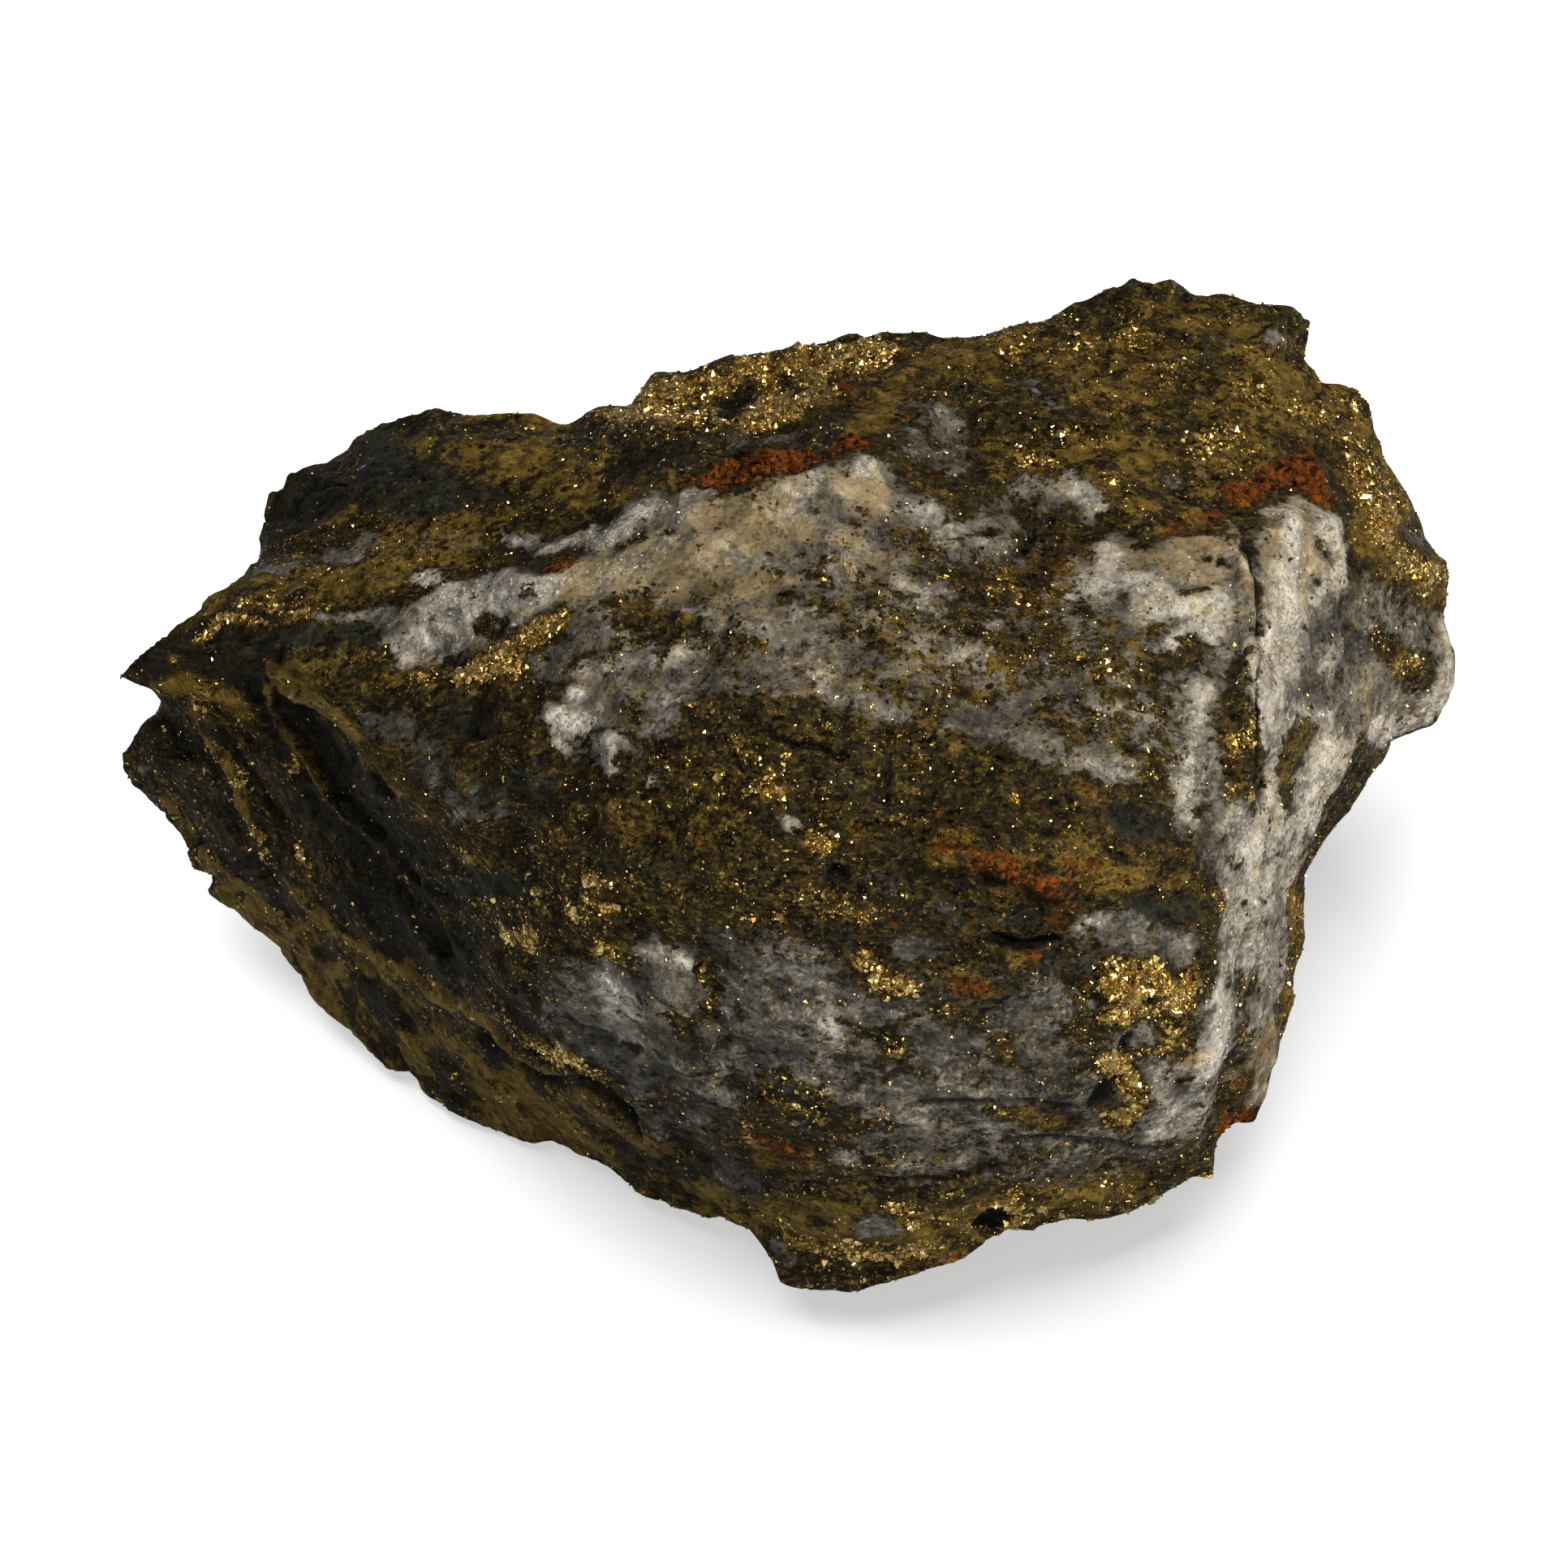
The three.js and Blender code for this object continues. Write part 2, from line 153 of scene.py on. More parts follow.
# Marks are painted in this order, the broad grounds first and the small inclusions last.
BROAD_MARKS = {
    "upper right ground": mark(
        Paint.RICH_GROUND, (1180, 450, 70), (1300, 460, 100), (1440, 450, 100), (1550, 500, 90),
        (1420, 570, 80), (1280, 550, 70)),
    "top golden slope": mark(
        Paint.GOLD, (735, 515, 20), (790, 500, 32), (850, 490, 40), (930, 480, 44), (1000, 455, 40),
        (1060, 435, 30), (1095, 420, 20), strength=0.85),
    "top olive slope": mark(
        Paint.STREAKED, (500, 560, 46), (600, 550, 50), (690, 560, 50), (760, 590, 36), (830, 580, 24)),
    "dark lobe": mark(Paint.DARK, (355, 625, 36), (395, 600, 34), (430, 640, 30)),
    "green slate lobe": mark(Paint.SLATE, (470, 555, 30), (480, 600, 38), (545, 605, 34)),
    "shoulder streaks": mark(
        Paint.MIXED_STREAKS, (260, 760, 34), (330, 725, 40), (430, 690, 44), (520, 670, 44),
        (600, 650, 30)),
    "left shoulder gold": mark(Paint.GLINTING, (240, 790, 26), (310, 760, 26), (400, 745, 20)),
    "left hollow": mark(
        Paint.DARK, (190, 810, 30), (300, 800, 46), (350, 880, 46), (400, 950, 50), (460, 1040, 56),
        (510, 1130, 56), (560, 1190, 40)),
    "outer left ground": mark(Paint.SHADY_GROUND, (200, 870, 40), (230, 980, 60), (300, 1060, 56)),
    "ridge ochre": mark(Paint.STREAKED, (340, 830, 18), (400, 868, 26), (480, 930, 30), (525, 990, 22)),
    "lower left face": mark(
        Paint.OCHRE, (290, 1110, 26), (350, 1170, 40), (430, 1240, 50), (520, 1310, 48), (610, 1350, 44),
        (700, 1385, 36), (780, 1425, 28), (860, 1470, 24), (930, 1500, 20)),
    "quartz belt": mark(
        Paint.BELT, (690, 790, 56), (800, 780, 84), (900, 755, 104), (1000, 735, 122), (1100, 735, 128),
        (1200, 760, 118), (1300, 780, 112), (1400, 780, 112), (1480, 790, 90)),
    "belt foot": mark(
        Paint.BELT, (1240, 890, 34), (1320, 910, 44), (1400, 910, 54), (1460, 930, 54), (1490, 1000, 40),
        (1520, 1090, 34), strength=0.85),
    "middle shade": mark(
        Paint.SHADY_GROUND, (640, 960, 50), (760, 1010, 60), (900, 1010, 70), (1040, 1020, 70),
        (1180, 980, 60), (1300, 980, 50), strength=0.6),
    "middle glints": mark(
        Paint.GLINTING, (680, 1000, 60), (820, 960, 80), (960, 950, 80), (1100, 980, 80), (1240, 1010, 66),
        (1350, 1010, 50), strength=0.5),
    "middle glints, low": mark(
        Paint.GLINTING, (660, 1110, 44), (800, 1090, 50), (940, 1080, 46), (1060, 1120, 40), strength=0.6),
    "lower quartz": mark(
        Paint.LOWER_QUARTZ, (700, 1230, 54), (800, 1250, 92), (930, 1270, 118), (1080, 1310, 128),
        (1220, 1320, 130), (1350, 1290, 130), (1440, 1270, 84)),
    "lower right quartz": mark(
        Paint.BELT, (1120, 1420, 40), (1250, 1415, 46), (1380, 1415, 50), (1450, 1380, 50), strength=0.8),
    "bottom rim": mark(
        Paint.GLINTING_OCHRE, (960, 1500, 34), (1040, 1535, 36), (1120, 1525, 36), (1220, 1500, 30),
        (1320, 1480, 22), (1400, 1460, 18)),
    "right face": mark(
        Paint.MILKY, (1580, 700, 50), (1600, 780, 70), (1600, 900, 66), (1580, 1000, 56), (1550, 1090, 50),
        (1540, 1180, 40), strength=0.9),
    "right bulge": mark(Paint.BELT, (1690, 770, 56), (1730, 840, 56), (1690, 880, 44)),
    "right gold edge": mark(
        Paint.GLINTING_OCHRE, (1650, 500, 34), (1680, 560, 38), (1700, 620, 44), (1735, 680, 40),
        (1770, 720, 26)),
}

VEIN_MARKS = {
    "cream vein": mark(
        Paint.CREAM, (488, 800, 24), (530, 782, 40), (570, 766, 46), (610, 747, 44), (650, 730, 34),
        (690, 717, 27), (740, 708, 30), (790, 700, 38), (840, 668, 46), (890, 652, 50), (950, 642, 52),
        (1010, 630, 52), (1060, 612, 42), (1085, 582, 26)),
    "vein tip": marks(
        Paint.MILKY,
        ((486, 797, 12), (508, 796, 20), (535, 780, 30), (570, 764, 36), (620, 742, 32), (680, 722, 22)),
        ((478, 768, 6), (505, 754, 9), (545, 736, 14), (590, 722, 14), (640, 708, 11))),
    "vein tip heart": mark(
        Paint.SNOW, (520, 790, 8), (560, 775, 10), (610, 740, 11), (660, 728, 9), strength=0.4),
    "vein tip edge": mark(Paint.MOTTLED, (474, 792, 7), (496, 826, 9), (534, 828, 9), (566, 812, 9)),
    "vein tip wisps, low": marks(
        Paint.MILKY, ((505, 806, 6), (486, 822, 4), (472, 832, 3)),
        ((545, 806, 6), (525, 824, 4), (508, 836, 3)), strength=0.9),
    "vein tip wisp three": mark(Paint.PALE, (480, 790, 5), (455, 796, 4), (438, 800, 3)),
    "vein tip gaps": marks(
        Paint.MOTTLED, ((526, 764, 3), (505, 776, 4), (488, 782, 3)),
        ((556, 796, 3), (535, 810, 4)), strength=0.9),
    "vein tip gaps, smoky": marks(
        Paint.SMOKY, ((574, 742, 3), (548, 754, 4), (520, 770, 3)),
        ((566, 784, 3), (540, 794, 3), (516, 806, 3)), strength=0.7),
    "vein tip gap five": mark(Paint.MOTTLED, (520, 744, 3), (500, 758, 3), (484, 764, 2), strength=0.8),
    "vein crest cream": mark(
        Paint.MILKY, (770, 696, 12), (810, 684, 14), (850, 650, 14), (890, 628, 12), strength=0.6),
    "smoky cloud in the vein": mark(
        Paint.SMOKY, (1000, 618, 18), (1035, 640, 20), (1010, 664, 18), (960, 690, 14), strength=0.6),
    "smoky cloud, right": mark(
        Paint.SMUDGE, (1020, 690, 10), (1046, 660, 10), (1072, 640, 12), strength=0.7),
    "smoky cloud, lower": mark(
        Paint.GREY, (900, 690, 12), (990, 700, 14), (1060, 690, 18), (1080, 650, 14), strength=0.55),
    "vein tip wisps": mark(Paint.GREY, (395, 752, 6), (430, 758, 8), (470, 765, 12), (500, 770, 16)),
    "vein crest": mark(Paint.MILKY, (960, 600, 8), (1020, 585, 10), (1080, 568, 12), strength=0.5),
    "vein right edge": mark(
        Paint.GREY, (1095, 585, 14), (1115, 610, 15), (1135, 635, 14), (1180, 652, 12), (1230, 668, 10)),
    "pale flecks of the right edge": mark(
        Paint.MILKY, (1108, 600, 6), (1125, 632, 7), (1165, 650, 7), (1210, 662, 6), strength=0.4),
    "warm heart of the vein": mark(
        Paint.TAN_QUARTZ, (850, 660, 20), (900, 640, 26), (950, 655, 22), strength=0.7),
    "honey patch": mark(Paint.TAN_QUARTZ, (890, 722, 20), (950, 722, 22), strength=0.7),
    "tan fleck": mark(Paint.TAN_QUARTZ, (1040, 590, 10), (1065, 605, 8), strength=0.6),
    "vein fold brown": mark(
        Paint.SMUDGE, (1005, 703, 10), (1040, 716, 18), (1080, 735, 22), (1120, 762, 18),
        (1160, 778, 16), strength=0.9),
    "brown band": mark(
        Paint.SMUDGE, (1110, 655, 14), (1150, 688, 26), (1200, 712, 34), (1260, 725, 38), (1310, 712, 34)),
    "brown band, low": mark(Paint.SMUDGE, (1120, 750, 20), (1210, 760, 24), (1280, 765, 20), strength=0.9),
    "brown islands": marks(
        Paint.SMUDGE, ((1010, 740, 14), (1050, 770, 18), (1090, 790, 14)),
        ((1300, 820, 14), (1345, 800, 16), (1390, 830, 16)), strength=0.8),
    "brown band heart": mark(
        Paint.GLINTING, (1180, 712, 12), (1215, 722, 18), (1265, 722, 18), (1290, 690, 18),
        (1310, 660, 12), strength=0.85),
    "white tongue": mark(Paint.MILKY, (1105, 708, 8), (1130, 730, 9), (1150, 752, 7)),
    "belt gold": mark(Paint.SMUDGE, (1220, 795, 16), (1270, 788, 26), (1310, 795, 18)),
    "belt gold grains": mark(Paint.GLINTING, (1240, 796, 8), (1275, 790, 14), (1305, 792, 10)),
    "belt gold lens": mark(Paint.GOLD, (1228, 806, 5), (1250, 808, 8), (1268, 806, 5)),
    "belt gold streak": mark(Paint.SMUDGE, (1150, 775, 10), (1200, 785, 11)),
    "small dark inclusion": mark(Paint.DARK, (962, 742, 9), (980, 742, 7)),
    "cloud halo": mark(
        Paint.GREY, (1220, 640, 26), (1260, 610, 26), (1320, 600, 26), (1350, 625, 22), strength=0.65),
    "cloud": mark(Paint.MILKY, (1318, 592, 12), (1335, 606, 16), (1350, 622, 12), strength=0.9),
    "white quartz below the cloud": mark(
        Paint.MILKY, (1370, 670, 20), (1390, 700, 24), (1350, 725, 16), (1320, 735, 12)),
    "lip quartz": mark(Paint.CREAM, (1400, 690, 22), (1450, 675, 18), (1500, 675, 18), (1530, 690, 12)),
    "lip grey": mark(Paint.MILKY, (1400, 730, 26), (1450, 740, 20), (1500, 740, 26)),
    "lip between the lenses": mark(Paint.CREAM, (1440, 700, 12), (1480, 700, 14), (1510, 712, 12)),
    "olive lens in the lip": mark(Paint.GROUND, (1462, 722, 3), (1475, 724, 6), (1488, 727, 4)),
    "lip speck": mark(Paint.GROUND, (1374, 736, 4), (1384, 736, 4)),
    "white strip": mark(
        Paint.MILKY, (622, 668, 8), (646, 670, 10), (690, 668, 11), (730, 666, 13), (770, 646, 17),
        (800, 630, 17), (840, 616, 14), (876, 604, 10)),
    "strip inclusions": mark(Paint.GLINTING, (764, 676, 4), (782, 666, 5), (796, 662, 4)),
    "strip inclusions, right": mark(Paint.DARK, (816, 654, 4), (832, 646, 5), strength=0.9),
    "ring of pyrite": mark(
        Paint.GLINTING, (585, 768, 7), (600, 758, 7), (618, 768, 7), (608, 780, 6), (590, 780, 6)),
    "dark specks in the tip": mark(Paint.DARK, (640, 742, 6), (655, 735, 5)),
    "bluish quartz": mark(Paint.SMOKY, (655, 800, 12), (690, 806, 14), (720, 770, 14), strength=0.8),
    "green ochre patch": mark(
        Paint.SMUDGE, (750, 745, 16), (800, 765, 34), (850, 785, 24), (910, 800, 14), (960, 805, 9)),
    "green ochre heart": mark(
        Paint.STREAKED, (765, 745, 10), (800, 760, 18), (840, 772, 14), strength=0.85),
    "gold under the vein": mark(Paint.GOLD, (560, 835, 14), (610, 820, 20), (650, 790, 18), (690, 760, 14)),
    "gold drop": mark(Paint.GOLD, (510, 830, 8), (525, 830, 8)),
    "crumbly ground": mark(Paint.MOTTLED, (690, 880, 26), (740, 885, 36), (790, 895, 38), (840, 880, 28)),
    "crumbly grains": marks(
        Paint.MILKY, ((704, 852, 9), (726, 868, 8)), ((762, 832, 9), (786, 850, 8)),
        ((812, 876, 8), (836, 886, 8)), ((800, 850, 14), (826, 862, 13), (846, 848, 10)), strength=0.8),
    "crumbly white": marks(
        Paint.SNOW, ((688, 890, 18), (720, 890, 22), (752, 904, 24)),
        ((796, 960, 10), (816, 966, 10)), strength=0.6),
    "crumbly white, low": mark(Paint.SNOW, (690, 916, 15), (745, 935, 20), (752, 952, 14), strength=0.5),
    "crumbly white hearts": marks(
        Paint.SNOW, ((680, 884, 7), (704, 892, 9), (722, 884, 6)), ((686, 912, 6), (694, 926, 5)),
        ((732, 908, 6), (750, 912, 7), (768, 908, 5)), ((740, 934, 6), (758, 944, 6)), strength=0.6),
    "crumbly cream": mark(Paint.CREAM, (728, 846, 13), (752, 852, 12), (744, 872, 10), strength=0.85),
    "crumbly pale, low": mark(Paint.PALE, (786, 892, 10), (810, 904, 9), (822, 888, 8)),
    "bright patch": mark(Paint.SNOW, (814, 812, 12), (842, 810, 15), (862, 822, 11), strength=0.75),
    "crumbly gaps": mark(
        Paint.SMUDGE, (714, 922, 5), (736, 900, 4), (770, 882, 5), (786, 868, 5), (764, 898, 5)),
    "belt lower edge": mark(
        Paint.BELT, (760, 840, 24), (850, 830, 24), (940, 835, 20), (1020, 845, 20), (1080, 870, 26),
        (1140, 880, 26), (1200, 880, 26), (1240, 900, 24)),
    "belt lower white": mark(
        Paint.GREY, (1235, 902, 9), (1270, 918, 12), (1320, 932, 13), (1360, 945, 14),
        (1385, 965, 10), strength=0.9),
    "belt lower white heart": mark(
        Paint.PALE, (1245, 908, 5), (1295, 926, 6), (1350, 942, 7), strength=0.8),
    "belt lower grey, right": mark(
        Paint.SMUDGE, (1350, 860, 18), (1400, 925, 22), (1440, 915, 20), strength=0.9),
    "belt right shade": mark(Paint.SMUDGE, (1340, 760, 24), (1390, 810, 32), (1410, 860, 34), strength=0.8),
    "belt foot olive": mark(
        Paint.SMUDGE, (1117, 858, 12), (1180, 862, 18), (1250, 866, 16), (1330, 880, 20), (1420, 892, 22)),
    "belt olive thread": mark(
        Paint.SMUDGE, (1080, 800, 10), (1140, 815, 13), (1200, 822, 12), (1260, 830, 12), strength=0.9),
    "belt right olive": mark(Paint.SMUDGE, (1330, 770, 14), (1380, 800, 18), (1400, 840, 18), strength=0.7),
    "belt smoky streak": mark(
        Paint.SMOKY, (1170, 880, 14), (1200, 895, 12), (1260, 860, 14), (1320, 880, 14)),
    "belt olive islands": marks(
        Paint.SMUDGE, ((1290, 870, 18), (1330, 895, 18), (1400, 885, 20), (1440, 890, 14)),
        ((1345, 835, 14), (1375, 825, 12), (1385, 785, 10)),
        ((1420, 775, 14), (1460, 790, 16), (1500, 800, 14), (1520, 790, 9))),
    "white squiggle": mark(
        Paint.SNOW, (1435, 796, 8), (1455, 782, 9), (1480, 778, 8), (1494, 792, 9), (1508, 778, 8),
        (1512, 762, 7)),
    "laminated olive": mark(Paint.GLINTING, (1415, 812, 10), (1450, 815, 14), (1485, 815, 12)),
    "laminated olive heart": mark(Paint.DARK, (1445, 822, 4), (1475, 828, 5), (1495, 826, 4), strength=0.8),
}

TOP_MARKS = {
    "gold lumps at the top": mark(
        Paint.GOLD, (940, 500, 26), (975, 500, 24), (1000, 455, 20), (1075, 425, 14)),
    # One of these dark patches is a painted shadow.
    "dark blotches and a painted shadow": marks(
        Paint.DARK, ((900, 500, 16), (915, 485, 12)), ((865, 512, 9),),
        ((575, 608, 14), (600, 602, 16), (622, 608, 10)), ((490, 520, 10), (515, 525, 10))),
    "brown in the top gold": mark(Paint.STAINED, (1030, 470, 10), (1050, 480, 9), strength=0.5),
    "dark in the top gold": mark(Paint.DARK, (968, 476, 8), (984, 482, 6), strength=0.7),
    "grey under the gold": mark(Paint.GREY, (900, 545, 10), (940, 540, 12), (985, 535, 9), strength=0.7),
    "smooth olive rim": mark(
        Paint.OCHRE, (1185, 430, 14), (1150, 450, 14), (1110, 480, 14), (1075, 515, 14),
        (1045, 535, 10), strength=0.9),
    "grey patch at the top": mark(
        Paint.LOWER_QUARTZ, (1130, 500, 18), (1160, 515, 20), (1185, 530, 18), (1130, 540, 24),
        (1180, 570, 24)),
    "white streak at the top": mark(
        Paint.PALE, (1120, 495, 8), (1150, 498, 10), (1175, 522, 8), (1190, 535, 7)),
    "smoky gap at the top": mark(Paint.MOTTLED, (1128, 522, 7), (1150, 535, 8), (1160, 550, 7)),
    "dark band behind the vein": mark(
        Paint.DARK, (790, 560, 14), (830, 555, 16), (850, 560, 10), strength=0.8),
    "ochre speckle": mark(Paint.STREAKED, (700, 600, 26), (760, 610, 20), (820, 590, 14)),
    "lobe orange edge": marks(
        Paint.STAINED, ((335, 660, 5), (338, 640, 6)), ((428, 605, 6), (440, 588, 7)), strength=0.7),
    "lobe tan patch": mark(Paint.OCHRE, (405, 635, 14), (440, 635, 12), strength=0.7),
    "rust line and stained flecks": marks(
        Paint.STAINED,
        ((826, 598, 9), (865, 590, 15), (900, 580, 19), (940, 575, 19), (985, 566, 14), (1008, 560, 9)),
        ((1240, 420, 8),), ((1250, 527, 6),), ((1580, 490, 9),)),
    "rust flecks": marks(
        Paint.RUST, ((858, 594, 7), (880, 588, 10), (905, 588, 8)),
        ((905, 572, 10), (930, 578, 14), (955, 570, 12)), ((978, 566, 8), (1000, 562, 6)),
        ((1030, 556, 8), (1052, 549, 11), (1072, 543, 7)), ((675, 692, 6), (690, 690, 9), (703, 688, 6)),
        ((1145, 577, 8), (1160, 578, 8)), ((1123, 515, 6),), ((1196, 556, 7),), ((1118, 533, 5),)),
    "rust spot left": mark(Paint.RUST, (630, 702, 5), (642, 700, 4), strength=0.7),
    "corner tan fringe": marks(
        Paint.CREAM, ((1484, 622, 7), (1494, 640, 9)), ((1566, 640, 12), (1592, 624, 13), (1616, 626, 12))),
    "corner tan fringe, middle": mark(Paint.TAN_QUARTZ, (1512, 634, 8), (1522, 650, 9), (1508, 664, 8)),
    "corner stains": marks(
        Paint.STAINED, ((1538, 646, 6), (1540, 664, 5)),
        ((1440, 650, 10), (1470, 645, 14), (1490, 640, 10)),
        ((1560, 590, 20), (1595, 575, 26), (1615, 592, 22), (1634, 616, 14))),
    "corner rust": marks(
        Paint.RUST, ((1558, 592, 12), (1584, 582, 17), (1602, 564, 13), (1616, 580, 14), (1620, 602, 14),
        (1634, 618, 9)), ((1514, 604, 9), (1532, 610, 15), (1550, 604, 11)),
        ((1425, 668, 5), (1438, 664, 5))),
    "corner rust, below": mark(Paint.RUST, (1486, 636, 6), (1502, 630, 6), strength=0.8),
    "grey patches": marks(
        Paint.GREY, ((1560, 420, 14), (1585, 430, 12)), ((1440, 590, 12), (1460, 585, 10)), strength=0.6),
    "grey veinlets": marks(
        Paint.SMOKY, ((1260, 455, 9), (1280, 475, 9), (1300, 500, 10), (1320, 505, 10)),
        ((1170, 470, 6), (1190, 485, 6), (1205, 495, 6)), strength=0.7),
    "gold patch over the belt": mark(Paint.GOLD, (1255, 560, 14), (1290, 560, 12), strength=0.8),
    "olive over the belt": mark(
        Paint.OCHRE, (1320, 560, 20), (1380, 570, 20), (1430, 555, 14), strength=0.6),
    "right strip of gold": mark(
        Paint.GOLD, (1660, 560, 12), (1685, 600, 18), (1710, 640, 22), (1740, 690, 22),
        (1770, 715, 14), strength=0.85),
    "right strip grey": mark(Paint.SMOKY, (1740, 650, 16), (1755, 670, 14), strength=0.8),
}

RIGHT_MARKS = {
    "white column": mark(
        Paint.MILKY, (1590, 640, 16), (1578, 680, 20), (1575, 740, 20), (1582, 800, 18), (1572, 850, 12)),
    "white column, right": mark(
        Paint.CREAM, (1610, 630, 11), (1612, 660, 13), (1608, 700, 13), (1600, 740, 12)),
    "white column heart": mark(
        Paint.SNOW, (1592, 646, 12), (1582, 690, 13), (1580, 740, 12), (1586, 790, 10), strength=0.65),
    "tan upper left of the column": mark(
        Paint.TAN_QUARTZ, (1565, 650, 9), (1572, 670, 9), (1560, 690, 7), strength=0.7),
    "grey column": mark(Paint.MILKY, (1636, 640, 15), (1650, 690, 18), (1642, 736, 12), strength=0.95),
    "grey column heart": mark(Paint.SNOW, (1632, 640, 8), (1646, 676, 9), strength=0.4),
    "grey column, low": mark(Paint.GREY, (1640, 760, 12), (1620, 820, 14)),
    "column streaks": marks(
        Paint.SMOKY, ((1622, 716, 4), (1614, 760, 6), (1604, 800, 5)),
        ((1562, 765, 4), (1560, 800, 5), (1566, 850, 6)), strength=0.5),
    "smoky patch on the right": mark(Paint.SMOKY, (1632, 780, 16), (1652, 750, 18), (1662, 795, 18)),
    "smoky patch, lower": mark(
        Paint.SMOKY, (1590, 852, 14), (1630, 842, 18), (1650, 870, 16), strength=0.9),
    "brown patch on the bulge": mark(Paint.GLINTING, (1700, 790, 18), (1730, 815, 22), (1755, 835, 18)),
    "grey on the bulge": mark(Paint.GREY, (1750, 770, 20), (1770, 800, 14)),
    "white rim of the bulge": mark(
        Paint.MILKY, (1782, 760, 9), (1790, 810, 9), (1780, 860, 16), (1750, 885, 16), (1700, 900, 18)),
    "white lower right": mark(Paint.MILKY, (1650, 920, 18), (1625, 960, 20), (1615, 1000, 18)),
    "white lower right heart": mark(
        Paint.SNOW, (1648, 918, 9), (1626, 958, 10), (1612, 1010, 10), (1590, 1050, 9), strength=0.5),
    "grey lower right": mark(Paint.SMOKY, (1655, 955, 9), (1660, 980, 7), strength=0.8),
    "brown streak on the right": mark(Paint.STREAKED, (1610, 900, 14), (1590, 940, 14), (1585, 985, 10)),
    "white lip": mark(Paint.CREAM, (1532, 700, 8), (1538, 760, 9), (1540, 820, 8), (1536, 870, 7)),
    # Painted shade along the seam crack.
    "dark seam": mark(
        Paint.DARK, (1540, 672, 6), (1548, 700, 5), (1550, 760, 3), (1552, 830, 3), strength=0.9),
    "seam gold": mark(Paint.GLINTING, (1520, 815, 8), (1525, 850, 9), (1525, 880, 10)),
    "edge gold": mark(Paint.GOLD, (1520, 915, 12), (1525, 945, 12), (1520, 975, 9), strength=0.85),
    "edge olive": mark(Paint.GLINTING, (1545, 890, 12), (1550, 930, 12), (1550, 970, 10), (1540, 1000, 9)),
    "edge white": mark(Paint.PALE, (1480, 860, 18), (1475, 900, 14), (1465, 960, 18), (1470, 1010, 16)),
    "edge white heart": mark(Paint.MILKY, (1482, 850, 9), (1478, 890, 7), (1462, 960, 9), (1468, 1005, 8)),
    "edge smoky slot": mark(Paint.SMOKY, (1490, 1000, 7), (1486, 1040, 7), (1484, 1070, 6)),
    "edge smoky": mark(Paint.SMOKY, (1500, 960, 10), (1510, 985, 9), strength=0.8),
    "edge olive left": mark(Paint.GLINTING, (1420, 940, 12), (1430, 965, 12), (1410, 985, 9)),
    "lower white column": mark(
        Paint.PALE, (1525, 1010, 20), (1540, 1070, 26), (1538, 1120, 22), (1520, 1165, 18)),
    "lower white column, heart": mark(
        Paint.MILKY, (1535, 1010, 11), (1545, 1060, 14), (1530, 1110, 11), (1512, 1150, 9)),
    "lower white column, bright": mark(
        Paint.SNOW, (1545, 1030, 8), (1552, 1080, 9), (1540, 1120, 8), strength=0.5),
    "lower grey column": mark(
        Paint.MILKY, (1515, 1200, 16), (1505, 1260, 20), (1490, 1310, 18), strength=0.9),
    "lower column flecks": mark(
        Paint.SNOW, (1518, 1190, 8), (1500, 1240, 9), (1505, 1290, 9), (1480, 1345, 9), strength=0.6),
    "lower right gold grains": mark(Paint.MOTTLED, (1530, 1215, 20), (1550, 1250, 20), (1530, 1285, 18)),
    "lower column gold": marks(
        Paint.GOLD, ((1536, 1206, 5), (1552, 1226, 5)), ((1524, 1262, 5), (1540, 1284, 5)), strength=0.9),
    "right lower edge": mark(
        Paint.PALE, (1575, 1120, 16), (1575, 1190, 20), (1565, 1250, 20), (1560, 1300, 16)),
    "right lower edge ochre": mark(
        Paint.GLINTING_OCHRE, (1598, 1100, 9), (1600, 1140, 9), (1592, 1190, 8), (1584, 1240, 8),
        (1576, 1290, 8)),
    "seam speckle": mark(Paint.GLINTING, (1485, 1075, 7), (1500, 1110, 7), (1503, 1140, 6)),
    "rim crust": mark(
        Paint.TAN_QUARTZ, (1568, 1266, 14), (1562, 1294, 18), (1555, 1322, 22), (1545, 1355, 20),
        (1522, 1330, 14)),
    "rim crust heart": mark(Paint.SNOW, (1562, 1306, 7), (1555, 1330, 8), (1548, 1352, 8), strength=0.6),
    "rim crust brown": mark(Paint.STAINED, (1525, 1345, 9), (1538, 1322, 8), (1520, 1370, 8), strength=0.8),
    "rim crust rust": mark(Paint.RUST, (1504, 1392, 9), (1512, 1380, 9), (1538, 1375, 6)),
    "rim crust grey": mark(Paint.MOTTLED, (1520, 1375, 8)),
}

